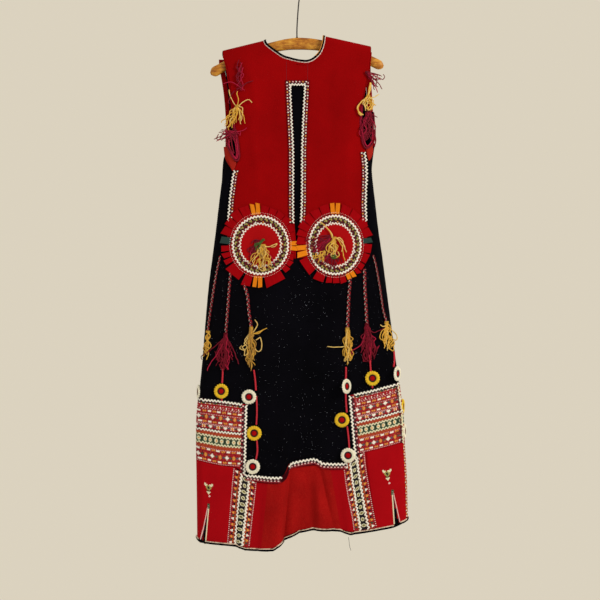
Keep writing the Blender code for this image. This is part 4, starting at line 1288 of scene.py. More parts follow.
MAT_DARK_RING = yarn_stuff("dark_ring", (0.030, 0.004, 0.006), 0.4)
MAT_WOOD, MAT_WIRE = wood(), dark_wire()

MATERIALS.update(
    front_body=MAT_BLACK,
    back_body=MAT_BLACK_BACK,
    back_armhole_band_l=MAT_BIB,
    back_armhole_band_r=MAT_BIB,
    front_bib=MAT_BIB,
    embroidered_panel_l=MAT_UNDER,
    embroidered_panel_r=MAT_UNDER,
    side_hem_l=MAT_HEM,
    side_hem_r=MAT_HEM,
    vertical_band_l=MAT_UNDER,
    vertical_band_r=MAT_UNDER,
    centre_hem=MAT_BRICK,
    hem_top_trim=MAT_DARK_UNDER,
    hem_binding=MAT_BLACK,
    back_hem=MAT_HEM,
    slot_trim=MAT_DARK_UNDER,
    side_trim_l=MAT_DARK_UNDER,
    side_trim_r=MAT_DARK_UNDER,
    neck_binding=MAT_BLACK,
    gusset_l=MAT_GUSSET,
    gusset_r=MAT_GUSSET,
    disc_l=MAT_DISC,
    disc_r=MAT_DISC,
)


# ------------------------------------------------------------------ needlework laid on a wall
class Needlework:
    """Stitches given by x, height and stand-off from the wall, then set on it all together."""

    def __init__(self, facing=-1):
        self.points, self.faces, self.marks, self.facing = [], [], [], facing

    def add(self, points, faces, mark):
        base = len(self.points)
        self.points.extend(points)
        self.faces.extend(tuple(k + base for k in face) for face in faces)
        self.marks.extend([LETTERS.index(mark) if isinstance(mark, str) else mark] * len(faces))

    def stitch(self, x, z, along, length, width, out, mark, rise=0.55):
        """A raised stitch: a low roof with rounded ends, its long side along a unit vector."""
        ux, uz = along
        vx, vz = -uz, ux
        a, b = length / 2, width / 2
        corners = [(-a, -b, 0), (a, -b, 0), (a, b, 0), (-a, b, 0), (-a * 0.5, 0, rise), (a * 0.5, 0, rise)]
        self.add(
            [(x + ux * p + vx * q, z + uz * p + vz * q, out + h) for p, q, h in corners],
            [(0, 1, 5, 4), (2, 3, 4, 5), (1, 2, 5), (3, 0, 4)],
            mark,
        )

    def ridge(self, start, end, width, out, rise, mark, reach=0.0):
        dx, dz = end[0] - start[0], end[1] - start[1]
        size = math.hypot(dx, dz) or 1e-6
        self.stitch(
            (start[0] + end[0]) / 2,
            (start[1] + end[1]) / 2,
            (dx / size, dz / size),
            size + reach,
            width,
            out,
            mark,
            rise,
        )

    def dot(self, x, z, radius, out, mark, rise=0.7, sides=6):
        points = [
            (x + radius * math.cos(2 * math.pi * k / sides), z + radius * math.sin(2 * math.pi * k / sides), out)
            for k in range(sides)
        ]
        points.append((x, z, out + rise))
        self.add(points, [(k, (k + 1) % sides, sides) for k in range(sides)], mark)

    def done(self, name, mats=None):
        points = np.array(self.points, float)
        verts = wall_xyz(self.facing, points[:, 0], points[:, 1], points[:, 2])
        return make(name, verts, self.faces, mats or THREAD_MATS, self.marks, soft=False)


class Lane:
    """A strip between two lines of the same number of points; s runs along it and w across, both in mm."""

    def __init__(self, inner, outer):
        self.inner, self.outer = np.array(inner, float), np.array(outer, float)
        mid = (self.inner + self.outer) / 2
        self.runs = np.concatenate([[0], np.cumsum(np.linalg.norm(np.diff(mid, axis=0), axis=1))])
        self.length = float(self.runs[-1])
        self.width = float(np.linalg.norm(self.outer - self.inner, axis=1).mean())

    def at(self, s, w):
        s = min(max(s, 0.0), self.length)
        k = min(int(np.searchsorted(self.runs, s, side="right")) - 1, len(self.runs) - 2)
        share = (s - self.runs[k]) / (self.runs[k + 1] - self.runs[k])
        a = self.inner[k] + share * (self.inner[k + 1] - self.inner[k])
        b = self.outer[k] + share * (self.outer[k + 1] - self.outer[k])
        return a + (b - a) * (w / self.width)

    def direction(self, s, w):
        p, q = self.at(s - 0.5, w), self.at(s + 0.5, w)
        d = q - p
        return d / (np.linalg.norm(d) or 1.0)


def zigzag(work, lane, w, amplitude, period, width, out, mark, start=0.0, end=None, rise=0.8):
    """Rickrack: a continuous zigzag along a lane."""
    end = lane.length if end is None else end
    count = max(2, int(round((end - start) / (period / 2))))
    last = None
    for k in range(count + 1):
        s = start + (end - start) * k / count
        spot = lane.at(s, w + (amplitude if k % 2 else -amplitude) * random.uniform(0.85, 1.1))
        if last is not None:
            work.ridge(last, spot, width, out, rise, mark, reach=width * 0.55)
        last = spot


def charted(work, lane, rows, w_start, cell_s, cell_w, out, start=0.0, end=None, fill=0.9, rise=0.5):
    """A chart whose rows repeat along a lane; each letter is one stitch, a dot is bare ground."""
    end = lane.length if end is None else end
    count = int((end - start) / cell_s)
    for r in range(count):
        row = rows[r % len(rows)]
        s = start + (r + 0.5) * cell_s
        along = lane.direction(s, w_start + len(row) * cell_w / 2)
        for c, letter in enumerate(row):
            if letter == ".":
                continue
            x, z = lane.at(s, w_start + (c + 0.5) * cell_w)
            jitter = random.uniform(-0.12, 0.12), random.uniform(-0.12, 0.12)
            work.stitch(
                x + jitter[0], z + jitter[1], along, cell_s * fill * random.uniform(0.92, 1.08), cell_w * fill, out, letter, rise
            )


# ------------------------------------------------------------------ tubes and yarn
def tube(pile, points, radius, mark, sides=6, taper=0.0, squash=1.0):
    """A round strand through points in metres; radius may be a list."""
    points = np.asarray(points, float)
    n = len(points)
    radii = np.full(n, radius, float) if np.isscalar(radius) else np.asarray(radius, float)
    if taper:
        radii = radii * (1 - taper * (np.arange(n) / (n - 1)) ** 3)
    tangent = np.gradient(points, axis=0)
    tangent /= np.linalg.norm(tangent, axis=1, keepdims=True) + 1e-12
    up = np.array([0.0, 1.0, 0.0])
    side = np.cross(tangent, up)
    weak = np.linalg.norm(side, axis=1) < 0.15
    side[weak] = np.cross(tangent[weak], [1.0, 0.0, 0.0])
    side /= np.linalg.norm(side, axis=1, keepdims=True)
    other = np.cross(side, tangent)
    ring = np.linspace(0, 2 * np.pi, sides, endpoint=False)
    verts = (
        points[:, None]
        + radii[:, None, None] * (np.cos(ring)[None, :, None] * side[:, None] + squash * np.sin(ring)[None, :, None] * other[:, None])
    ).reshape(-1, 3)
    faces = []
    for k in range(n - 1):
        for m in range(sides):
            a, b = k * sides + m, k * sides + (m + 1) % sides
            faces.append((a, b, b + sides, a + sides))
    verts = np.concatenate([verts, points[:1], points[-1:]])
    for m in range(sides):
        faces.append(((m + 1) % sides, m, n * sides))
        faces.append(((n - 1) * sides + m, (n - 1) * sides + (m + 1) % sides, n * sides + 1))
    pile.add(verts, faces, mark)


def catmull(points, steps=5):
    """A rounded curve through points of any dimension."""
    p = np.asarray(points, float)
    p = np.concatenate([[2 * p[0] - p[1]], p, [2 * p[-1] - p[-2]]])
    out = []
    for k in range(1, len(p) - 2):
        for t in np.arange(steps) / steps:
            out.append(
                0.5
                * (
                    2 * p[k]
                    + (p[k + 1] - p[k - 1]) * t
                    + (2 * p[k - 1] - 5 * p[k] + 4 * p[k + 1] - p[k + 2]) * t**2
                    + (3 * p[k] - p[k - 1] - 3 * p[k + 1] + p[k + 2]) * t**3
                )
            )
    out.append(p[-2])
    return np.array(out)


def on_wall(path, facing=-1):
    """Points (x, z, stand-off) in mm as points in metres."""
    path = np.asarray(path, float)
    return wall_xyz(facing, path[:, 0], path[:, 1], path[:, 2])


def strand(pile, path, radius, mark, steps=5, wiggle=0.5, sides=6):
    """One length of yarn: a tube along the path that wanders a little and swells along its length."""
    path = catmull(path, steps)
    runs = np.concatenate([[0], np.cumsum(np.linalg.norm(np.diff(path, axis=0), axis=1))])
    for axis in (0, 1):
        wander = sum(
            RNG.uniform(0.4, 1.0) * np.sin(runs / RNG.uniform(2.2, 6.5) + RNG.uniform(0, 6.3)) for _ in range(3)
        )
        path[:, axis] += wiggle * 1.5 * wander * np.clip(runs / 6.0, 0, 1) * (1.0 if axis == 0 else 0.4)
    points = on_wall(path)
    runs = np.concatenate([[0], np.cumsum(np.linalg.norm(np.diff(points, axis=0), axis=1))])
    swell = 1 + 0.12 * np.sin(runs / MM / 1.9 + RNG.uniform(0, 6))
    tube(pile, points, radius * MM * swell, mark, sides, taper=0.25)


def tassel(name, knot, ends, count, radius, mats, strays=(), stand=3.0, bulk=5.0, knot_size=(3.0, 6.0), replace=None, spread_top=2.0, loops=0.25):
    """Yarn hanging from a knot. ends are (x left, x right, z top, z bottom) of where the strands finish; strays are
    (mark, points) paths given as (x, z)."""
    pile = Pile()
    left, right, top, foot = ends
    count = max(4, int(count * 0.8))
    for k in range(count):
        share = (k + 0.5) / count
        end_x = left + (right - left) * (share + RNG.uniform(-0.12, 0.12))
        middle = abs(share - 0.5) * 2
        end_z = foot + (top - foot) * (middle**1.6 * 0.8 + RNG.uniform(0, 0.3))
        sx = knot[0] + RNG.uniform(-spread_top, spread_top)
        mark = int(RNG.integers(0, len(mats))) if RNG.uniform() < 0.45 else 0
        d = stand + RNG.uniform(0, bulk) * (1 - 0.5 * middle)
        end_z += RNG.normal(0, 3.0)
        end_x += RNG.normal(0, 2.0)
        path = [(sx, knot[1] + RNG.uniform(0, 2), d)]
        parts = 5
        for m in range(1, parts + 1):
            t = m / parts
            bow = math.sin(t * math.pi) * RNG.uniform(-4.2, 4.2)
            x = sx + (end_x - sx) * t**0.75 + bow
            z = knot[1] + (end_z - knot[1]) * t + RNG.uniform(-2, 2)
            path.append((x, z, stand + (d - stand) * (1 - 0.4 * t) + RNG.uniform(-0.7, 0.7)))
        if RNG.uniform() < loops:
            x, z, d2 = path[-1]
            turn = RNG.choice([-1, 1])
            path += [(x + turn * 3.5, z - 3.5, d2), (x + turn * 6.5, z + 1.0, d2 + 1), (x + turn * 5.5, z + 8.0, d2)]
        strand(pile, path, radius * RNG.uniform(0.8, 1.1), mark, steps=6, wiggle=RNG.uniform(0.7, 1.7))
    for mark, points in strays:
        n = len(points)
        path = [(p[0], p[1], (p[2] if len(p) > 2 else stand + 2.0)) for p in points]
        strand(pile, path, radius, mark, steps=6, wiggle=0.35)
    # The wound neck of the tassel
    w, h = knot_size
    turns = max(2, int(h / 2.2))
    for m in range(turns):
        z = knot[1] + h * (0.5 - m / turns)
        path = [(knot[0] + w * math.cos(a), z + 0.5 * math.sin(a), stand + 1.6 + 2.0 * math.sin(a)) for a in np.linspace(0, 2 * math.pi, 9)]
        tube(pile, on_wall(path), radius * MM * 0.9, 0, 5)
    made = pile.done(name, mats)
    if replace:
        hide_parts(replace)
    return made


# ------------------------------------------------------------------ cloth walls
body()
armhole_bands()
bib()
UNIT = 2.275  # the grid that details were measured on, in mm


def ux(x):
    return (x - 300) * UNIT


def uz(y):
    return (300 - y) * UNIT - 735


hem()


def path_lane(line, width, side=1):
    """A lane of a width to one side of a line of points."""
    line = np.array(line, float)
    d = np.gradient(line, axis=0)
    d /= np.linalg.norm(d, axis=1, keepdims=True)
    n = np.stack([d[:, 1], -d[:, 0]], -1) * side
    return Lane(line, line + n * width)


def cloth_strip(name, inner, outer, layer, mat, across=2):
    MATERIALS[name] = mat
    parts = len(inner) - 1

    def flat(i, j):
        share = i / across
        return between(inner[j][0], outer[j][0], share), between(inner[j][1], outer[j][1], share)

    return sheet(name, across, parts, flat, front_point, layer[0], layer[1], None)


# Trim round the slot of the bib
slot_heights = [-560, -540, -508, -480, -450, -420, -394, -365, -337, -310, -285, -262]
left = [(straight(SLOT, z, 1) - 0.3, z) for z in slot_heights]
right = [(straight(SLOT, z, 2) + 0.3, z) for z in reversed(slot_heights)]
head = -246.0
slot_inner = [*left, (-20.3, head), (9.3, head), *right]
slot_outer = [(x - 12.5, z) for x, z in left] + [(-33, head + 12), (22, head + 12)] + [(x + 12.5, z) for x, z in right]
cloth_strip("slot_trim", slot_inner, slot_outer, ON_LAID, MAT_DARK_UNDER)
slot_lane = Lane(slot_inner, slot_outer)
left_rows = (-440, -452, -476, -505, -533, -556)
side_l = [(straight(BIB_LEFT, z) + 1.0, z) for z in left_rows]
side_l_in = [(x + 12.5, z) for x, z in side_l]
cloth_strip("side_trim_l", side_l, side_l_in, ON_LAID, MAT_DARK_UNDER)
right_rows = (-398, -424, -457, -487, -517, -539, -556)
side_r = [(straight(BIB_RIGHT, z) - 1.0, z) for z in right_rows]
side_r_in = [(x - 12.0, z) for x, z in side_r]
cloth_strip("side_trim_r", side_r, side_r_in, ON_LAID, MAT_DARK_UNDER)

work = Needlework()
TOP = ON_LAID[1] + 0.1
CHECKS = ["K.D", "WKR", "KWD", "DKW"]
for lane in (slot_lane, Lane(side_l, side_l_in), Lane(side_r, side_r_in)):
    lane_scale = lane.width / 12.5
    charted(work, lane, ["K"], 0.0, 3.4, 4.6, TOP - 0.1, fill=1.0, rise=0.1)
    charted(work, lane, ["K", "D"], 4.6, 4.05, 2.9, TOP - 0.1, fill=1.0, rise=0.2)
    zigzag(work, lane, 2.6, 2.0, 8.1, 2.5, TOP, "W", rise=1.0)
    charted(work, lane, ["K", "D"], 7.5, 3.3, 3.9, TOP - 0.1, fill=1.0, rise=0.2)
    s, k = 2.0, 0
    while s < lane.length - 1.5:
        x, z = lane.at(s, 9.5)
        work.dot(x, z, 1.75, TOP + 0.1, "WOPWPOWP"[k % 8], 0.9)
        s, k = s + 6.6, k + 1
    charted(work, lane, ["D", "R"], 11.4, 3.9, 1.2, TOP - 0.1, fill=0.7)
# two fine lines of stitching from the neck down to the slot
for x in (ux(286.4), ux(307.7)):
    z = uz(61)
    while z > uz(80):
        work.stitch(x, z, (0, 1), 2.6, 0.9, LAID[1] + 0.05, "D", 0.25)
        z -= 3.4
# small stitched lines on the neck binding
neck_line = [(x, z) for x, z in NECK]
neck_fine = catmull(neck_line, 4)
neck_lane = path_lane(neck_fine, 8.0, side=-1)
inner = [tuple(p) for p in neck_lane.inner]
outer = [tuple(neck_lane.at(s, 4.4)) for s in neck_lane.runs]
cloth_strip("neck_binding", inner, outer, ON_LAID, MAT_BLACK, across=1)
s = 0.0
while s < neck_lane.length - 1:
    a, b = neck_lane.at(s, -0.9), neck_lane.at(s + 2.6, -0.9)
    late = s > neck_lane.length * 0.72
    work.ridge(a, b, 1.9, LAID[1] + 0.3, 1.2, "P" if int(s / 2.4) % 3 == 0 else "W", 0.6)
    if late:
        a, b = neck_lane.at(s, 4.7), neck_lane.at(s + 2.0, 3.7)
        work.ridge(a, b, 1.3, ON_LAID[1] + 0.2, 0.6, "O", 0.2)
    s += 2.4
TRIM_WORK = work.done("trim_needlework")

# Gussets and rolled crimson edges at the foot of the armholes
for name, left_line, right_line in (
    (
        "gusset_l",
        ((-171.5, -384), (-170.5, -397), (-169, -408), (-165.5, -419), (-160, -430), (-153.8, -441)),
        ((-158, -384), (-153.0, -400), (-148.0, -412), (-145.2, -422), (-147.5, -431), (-152.4, -441)),
    ),
    (
        "gusset_r",
        ((149.0, -385), (150.0, -391), (151.0, -397), (152.0, -403), (153.2, -409), (155.2, -416)),
        ((165.0, -378), (165.5, -388), (165.0, -396), (163.2, -403), (160.2, -410), (156.6, -416)),
    ),
):

    def flat(i, j, left_line=left_line, right_line=right_line):
        return between(left_line[j][0], right_line[j][0], i / 3), between(left_line[j][1], right_line[j][1], i / 3)

    sheet(name, 3, 5, flat, front_point, LAID[0] + 1.0, LAID[1] + 1.0, None)

for name, rows, low, side, knots in (
    ("armhole_roll_l", ARM_LEFT, -414, -1, 60),
    ("armhole_roll_r", ARM_RIGHT, -383, 1, 60),
):
    pile = Pile()
    heights = np.linspace(-296 if side < 0 else -288, low, 46)
    core = [(straight(rows, z) + side * 1.8, z, 1.6) for z in heights]
    tube(pile, on_wall(core), 1.7 * MM, 0, 8)
    # overcast stitches round the edge
    line = on_wall(core)
    for k in range(1, 45):
        c = line[k]
        a = c + np.array([-side * 3.6, 0.2, 1.1]) * MM
        b = c + np.array([side * 1.2, -1.9, -0.4]) * MM
        e = c + np.array([side * 2.3, 0.6, -1.1]) * MM
        tube(pile, catmull([a, c + np.array([-side * 1.2, -2.3, 0.5]) * MM, b, e], 3), 0.75 * MM, 1, 5)
    loops = (
        (
            ((237, 135), (238.5, 147), (239.2, 156), (237, 160.6), (233.2, 157.5), (229.5, 150), (227.6, 143), (226.5, 138)),
            ((233.9, 137), (235.7, 145), (236.5, 154), (235, 158), (232, 153), (229.6, 146), (229, 139)),
            ((231, 137), (232.2, 146), (233.8, 153), (231, 150), (228, 143)),
            ((236.0, 135), (237.2, 146), (237.9, 154), (236.2, 158.6), (234, 156)),
        )
        if side < 0
        else (
            ((361.9, 135), (363, 143), (365.5, 147.5), (368.5, 147), (372, 143), (374.4, 137.5), (374.0, 129)),
            ((363.2, 133), (364.4, 141), (366.4, 145.4), (368.6, 145), (371.2, 141), (372.6, 136), (372.3, 129)),
            ((373.6, 112), (374.4, 121), (375.2, 131), (374.8, 139), (373.0, 146)),
        )
    )
    for number, loop in enumerate(loops):
        path = catmull([(ux(x), uz(y), LAID[1] + 2.6 + 0.6 * number) for x, y in loop], 8)
        tube(pile, on_wall(path), (1.9 if number == 0 else 1.5) * MM, number % 2, 7)
    made = pile.done(name + "_yarn", [MAT_CRIMSON, MAT_CRIMSON_LIGHT])
    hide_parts(name)
# upper part of the front armhole edges: a fine dark roll
pile = Pile()
for rows, heights in ((ARM_LEFT, np.linspace(-178, -300, 50)), (ARM_RIGHT, np.linspace(-168, -290, 50))):
    side = -1 if rows is ARM_LEFT else 1
    core = [(straight(rows, z) + side * 0.6, z, 2.0) for z in heights]
    tube(pile, on_wall(core), 1.3 * MM, 0, 7)
EDGE_ROLL = pile.done("armhole_edges", [MAT_BIB])
pile = Pile()
facing_line = [(ux(x) * 1.012, 1.0, uz(y)) for x, y in ((226.4, 66), (228.0, 80), (229.8, 95), (231.0, 110), (231.8, 125), (232.0, 140), (232.4, 152), (233.0, 160))]
tube(pile, catmull(np.array(facing_line) * MM, 6), np.linspace(2.0, 5.5, 43) * MM, 0, 8)
facing_line = [(ux(x) * 1.012, 1.0, uz(y)) for x, y in ((371.5, 110), (371.5, 122), (370.0, 134), (369.0, 146), (368.0, 154))]
tube(pile, catmull(np.array(facing_line) * MM, 6), 5.0 * MM, 0, 8)
FACING_ROLL = pile.done("armhole_facing", [MAT_BLACK])


# ------------------------------------------------------------------ discs, their rings and tabs
# Tabs of felt round each disc: start angle, end angle, outer radius in units of 2.275 mm, kind
TABS_L = (
    (-14, -10, 34.0, 0), (-9.5, -1.2, 36.6, 1), (-0.8, 7, 36.4, 1), (8, 22, 35.0, 0), (22.5, 36, 37.5, 0), (36.5, 50, 39.6, 0),
    (50.5, 63, 39.0, 0), (63.5, 76, 38.8, 0), (76.5, 89, 39.4, 0), (90, 97.5, 42.2, 1), (98, 105.5, 41.9, 1), (106.5, 121, 42.4, 0),
    (121.5, 136, 42.8, 0), (136.5, 150, 41.6, 0), (150.5, 164, 40.8, 0), (165.5, 178.5, 40.2, 2), (180.5, 190, 39.2, 0),
    (192, 200.5, 39.3, 0), (202.3, 210.5, 39.6, 0), (213, 239.5, 41.6, 0), (243.2, 256.5, 43.2, 0), (258.3, 265.3, 42.2, 1),
    (266, 273.5, 42.3, 1), (277, 308, 42.4, 0), (312, 322, 37.6, 0), (323.2, 333, 36.6, 0), (334, 345, 35.3, 0),
)
TABS_R = (
    (3, 13, 37.4, 2), (14, 29, 38.4, 0), (29.5, 46, 39.3, 0), (46.5, 64, 39.8, 0), (64.5, 80.5, 41.0, 0), (82, 89.5, 42.0, 1),
    (90, 97.5, 42.0, 1), (98.5, 113, 41.6, 0), (113.5, 128, 40.6, 0), (128.5, 142, 41.4, 0), (142.5, 155, 41.0, 0),
    (155.5, 166, 39.5, 0), (166.5, 179.4, 38.4, 0), (180, 189.5, 38.3, 1), (190, 200.5, 39.0, 1), (202.5, 231, 39.0, 0),
    (236, 253, 39.6, 0), (256, 265.5, 38.4, 0), (266.5, 277, 38.2, 0), (278, 288, 38.8, 0), (289.5, 297, 37.0, 1),
    (297.5, 305.5, 37.4, 1), (307, 314, 37.2, 0), (315.5, 326.5, 36.2, 0), (328, 345, 36.0, 0), (346, 362, 36.8, 0),
)
for (side_name, x0, z0, across, up, ring_across, ring_up), tabs in zip(DISCS, (TABS_L, TABS_R)):
    key = side_name[0]
    fx, fz = (0.98, 1.027) if key == "l" else (0.913, 1.034)
    x0, z0 = (-90.0, -610.4) if key == "l" else (79.4, -610.0)

    def flat(i, j, x0=x0, z0=z0, across=across, up=up):
        u, v = i / 5 - 1, 1 - j / 5
        return x0 + across * u * math.sqrt(1 - v * v / 2), z0 + up * v * math.sqrt(1 - u * u / 2)

    sheet(f"disc_{key}", 10, 10, flat, front_point, *ON_LAID, None)

    # felt tabs
    pile = Pile()
    for number, (start, end, reach, kind) in enumerate(tabs):
        n, m = max(4, int((end - start) / 2.2)), 5
        turn = random.uniform(-0.05, 0.05)
        lift = random.uniform(0.1, 1.2)
        grid = []
        for j in range(m + 1):
            inner = 30.2 * (fx + (fz - fx) * abs(math.sin(math.radians((start + end) / 2))))
            r = inner + (reach - inner) * j / m
            for i in range(n + 1):
                share = i / n - 0.5
                pinch = (inner / r) ** (0.35 if kind == 0 else 0.95)
                angle = math.radians((start + end) / 2 + (end - start) * share * pinch)
                rr = r * (1 + turn * share * (j / m)) * UNIT
                # tabs are straight-cut: the outer edge is a chord, not an arc
                rr *= 1 - (0.5 - 2 * share * share) * 0 + (math.cos(math.radians((end - start) / 2)) / math.cos(math.radians((end - start)) * share) - 1) * j / m * 0.8
                rise = ON_LAID[0] + 0.2 + lift * (j / m) ** 2 + 0.35 * math.sin(i * 1.7 + number) * (j / m)
                grid.append((x0 + rr * math.cos(angle), z0 + rr * math.sin(angle), rise))
        grid = np.array(grid)
        front = wall_xyz(-1, grid[:, 0], grid[:, 1], grid[:, 2] + 1.2)
        back = wall_xyz(-1, grid[:, 0], grid[:, 1], grid[:, 2])
        size = len(grid)
        faces = []
        for j in range(m):
            for i in range(n):
                a, b = j * (n + 1) + i, j * (n + 1) + i + 1
                c, d = a + n + 2, a + n + 1
                faces += [(a, d, c, b), (a + size, b + size, c + size, d + size)]
        rim = [k for k in range(n + 1)] + [k * (n + 1) + n for k in range(1, m + 1)] + [m * (n + 1) + n - k for k in range(1, n + 1)] + [(m - k) * (n + 1) for k in range(1, m)]
        for a, b in zip(rim, rim[1:] + rim[:1]):
            faces.append((a, b, b + size, a + size))
        pile.add(np.concatenate([front, back]), faces, kind)
    made = pile.done(f"tab_ring_{key}_felt", [MAT_TAB, MAT_ORANGE, MAT_DARK_GREEN], soft=False)
    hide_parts(f"tab_ring_{key}")

    # rings of needlework
    work = Needlework()
    top = ON_LAID[1] + 0.1

    def around(r, angle, x0=x0, z0=z0, fx=fx, fz=fz):
        return x0 + r * UNIT * fx * math.cos(angle), z0 + r * UNIT * fz * math.sin(angle)

    def ring_of(r, count, size, letters, kind="dot", radial=2.0, rise=0.6, start=0.0):
        for k in range(count):
            letter = letters[k % len(letters)]
            if letter == ".":
                continue
            angle = 2 * math.pi * (k + start) / count
            x, z = around(r, angle)
            if kind == "dot":
                work.dot(x, z, size * random.uniform(0.85, 1.1), top, letter, rise)
            else:
                d = np.array([math.cos(angle), math.sin(angle)])
                work.stitch(x, z, (d[0], d[1]), radial, size, top, letter, rise)

    def ring_zigzag(r, count, amplitude, width, letter, rise=0.8):
        spots = [around(r + (amplitude if k % 2 else -amplitude) * random.uniform(0.85, 1.1), math.pi * k / count) for k in range(2 * count)]
        for a, b in zip(spots, spots[1:] + spots[:1]):
            work.ridge(a, b, width, top, rise, letter, width * 0.5)

    ring_of(31.3, 104, 0.85, "WP", rise=0.8)
    ring_of(30.3, 104, 1.0, "KD", rise=0.4, start=0.5)
    ring_of(29.5, 122, 0.9, "K", rise=0.3)
    ring_zigzag(28.0, 51, 0.92, 3.1, "W", 1.0)
    for r in (26.8, 25.6, 24.4, 23.2, 22.2):
        ring_of(r, int(r * 5.4), 1.9, "K", kind="stitch", radial=2.9, rise=0.25)
    ring_of(25.5, 87, 4.2, "YYK", kind="stitch", radial=2.6, rise=0.8)
    ring_of(24.4, 87, 4.0, "YKD", kind="stitch", radial=2.4, rise=0.7)
    ring_of(22.6, 36, 2.0, "O.W.", rise=1.1, start=0.25)
    ring_zigzag(20.9, 39, 0.95, 2.3, "W", 1.0)
    ring_of(19.6, 46, 0.8, "D.", rise=0.3)
    work.done(f"disc_{key}_needlework")


# ------------------------------------------------------------------ worked panels and bands near the hem
MOTIFS = {
    "white_diamond": ("..W..", ".WWW.", "WWWWW", ".WWW.", "..W.."),
    "orange_diamond": ("..O..", ".OOO.", ".OYO.", ".OOO.", "..O.."),
    "green_diamond": (".G.", "GBG", ".G."),
    "blue_diamond": (".B.", "BBB", ".B."),
    "white_bar": ("WWWW", "WWWW"),
    "orange_bar": ("OTOO", "OOTO"),
    "white_arch": ("WWWW", "WWWW", ".WW."),
    "orange_arch": ("WOOW", "OOOO", "WTOW"),
    "green_block": ("GG", "GG"),
    "blue_block": ("BB", "BB"),
    "oval_across": (".CC.", "CCCC", "COOC", "CCCC", ".CC."),
    "oval_down": (".CC.", "CCOC", "CCOC", "CCOC", ".CC."),
    "cross": ("G..G", ".KK.", ".GG.", ".KK.", "G..G"),
    "dot": ("W",),
    "pink": ("P",),
}
CELL = 1.95


def worked_panel(name, left, right, top, foot, tall, flip=False):
    """A charted panel. left and right are x at a height, top and foot heights at an x; rows run down from the top."""
    columns = int(round((right(-1035) - left(-1035)) / CELL))
    rows = int(tall / CELL)
    grid = [["R"] * columns for _ in range(rows)]
    for r in range(rows):
        for c in range(columns):
            shade = RNG.uniform()
            grid[r][c] = "D" if shade < 0.22 else ("T" if shade < 0.30 else "R")

    def row_of(s):
        return int(s / CELL)

    def put(motif, c, s):
        chart = MOTIFS[motif]
        r0, c0 = row_of(s) - len(chart) // 2, int(round(c)) - len(chart[0]) // 2
        for r, line in enumerate(chart):
            for k, letter in enumerate(line):
                if letter != "." and 0 <= r0 + r < rows and 0 <= c0 + k < columns:
                    grid[r0 + r][c0 + k] = letter

    def fill(s_from, s_to, letters, skip=1):
        for r in range(row_of(s_from), min(rows, row_of(s_to) + 1)):
            for c in range(columns):
                grid[r][c] = letters[(c + r * skip) % len(letters)]

    fill(0.5, 4.5, "K")
    fill(4.6, 7.6, "KKDD", 2)
    fill(8.5, 9.5, "WDOKPD")
    fill(10.6, 12.4, "R")
    fill(19.0, 19.6, "PRD")
    fill(31.4, 31.8, "PRPD")
    fill(54.4, 54.8, "PRPD")
    fill(65.0, 70.5, "KD")
    fill(71.0, 77.5, "TTRT", 1)
    fill(78.6, 99.0, "G")
    for c in range(columns):
        grid[row_of(82)][c] = "G" if c % 2 else "K"
    fill(100.4, 106.0, "TTRT", 1)
    fill(108.4, 108.9, "PRPD")
    fill(139.6, 141.0, "PRP.")
    width = columns * CELL
    shift = 3.0
    c = -shift
    index = 0
    while c < columns + 6:
        put("dot", c, 15.0)
        put("dot", c, 16.0)
        put("pink", c + 3.5, 15.4)
        put("green_block" if index % 2 else "pink", c + 2, 9.0)
        put("white_bar", c if index % 1 == 0 else c, 999)
        c += 7.2
        index += 1
    period = 11.7
    for k in range(int(columns / period) + 2):
        c = k * period + 2
        for s in (26.6, 50.0, 113.0, 134.6):
            off = 0 if s in (26.6, 113.0) else 1.5
            put("white_bar", c + off, s)
            put("orange_bar", c + off + period / 2, s)
    period = 16.4
    for k in range(int(columns / period) + 2):
        c = k * period - 2
        for s in (38.0, 124.4):
            put("white_diamond", c + 4, s)
            put("green_diamond", c + 8.2, s)
            put("orange_diamond", c + 12.2, s)
            put("blue_diamond", c + 16.4, s)
        put("white_arch", c + 2, 59.8)
        put("blue_block", c + 6.4, 59.8)
        put("orange_arch", c + 10.4, 59.8)
        put("green_block", c + 14.6, 59.8)
    period = 13.2
    for k in range(int(columns / period) + 2):
        c = k * period
        put("oval_across", c + 3, 88.4)
        put("cross", c + 6.5, 88.4)
        put("oval_down", c + 9.8, 88.4)
        put("cross", c + 13.1, 88.4)
    work = Needlework()
    out = ON_LAID[0] + 0.15

    def spot(u, s):
        z = top(0.5 * (left(-1035) + right(-1035)))
        x = left(-1035)
        for _ in range(3):
            x = between(left(z), right(z), u)
            z = top(x) - (top(x) - foot(x)) * s / tall
        return x, z

    for r in range(rows):
        for c in range(columns):
            letter = grid[r][c]
            if letter == ".":
                continue
            u = (c + 0.5) / columns
            if flip:
                u = 1 - u
            s = (r + 0.5) * CELL
            x, z = spot(u, s)
            x2, z2 = spot(min(u + 0.02, 1.0), s)
            x1, z1 = spot(max(u - 0.02, 0.0), s)
            d = np.array([x2 - x1, z2 - z1])
            d /= np.linalg.norm(d)
            strong = letter in "WCOYGBK"
            work.stitch(
                x + random.uniform(-0.1, 0.1),
                z + random.uniform(-0.1, 0.1),
                d,
                CELL * random.uniform(0.95, 1.1) * (1.05 if strong else 0.9),
                CELL * (0.98 if strong else 0.8),
                out + (0.15 if strong else 0.0),
                letter,
                0.6 if strong else 0.35,
            )
    for s, letter in ((1.6, "W"), (68.0, "W"), (80.0, "C"), (97.4, "C")):
        last = None
        count = int(width / (7.6 if s < 5 else 7.0) * 2)
        for k in range(count + 1):
            x, z = spot(k / count, s + (2.1 if k % 2 else -1.9) * random.uniform(0.85, 1.1))
            if last:
                work.ridge(last, (x, z), 3.1 if s < 5 else 2.6, out + 0.5, 1.0, letter, 1.4)
            last = (x, z)
    work.done(name)


left_panel_in = column("left_panel_edge")
right_panel_in = column("right_panel_edge")


def left_edge(z):
    return smooth(OUTLINE, z, 1) + 1.8


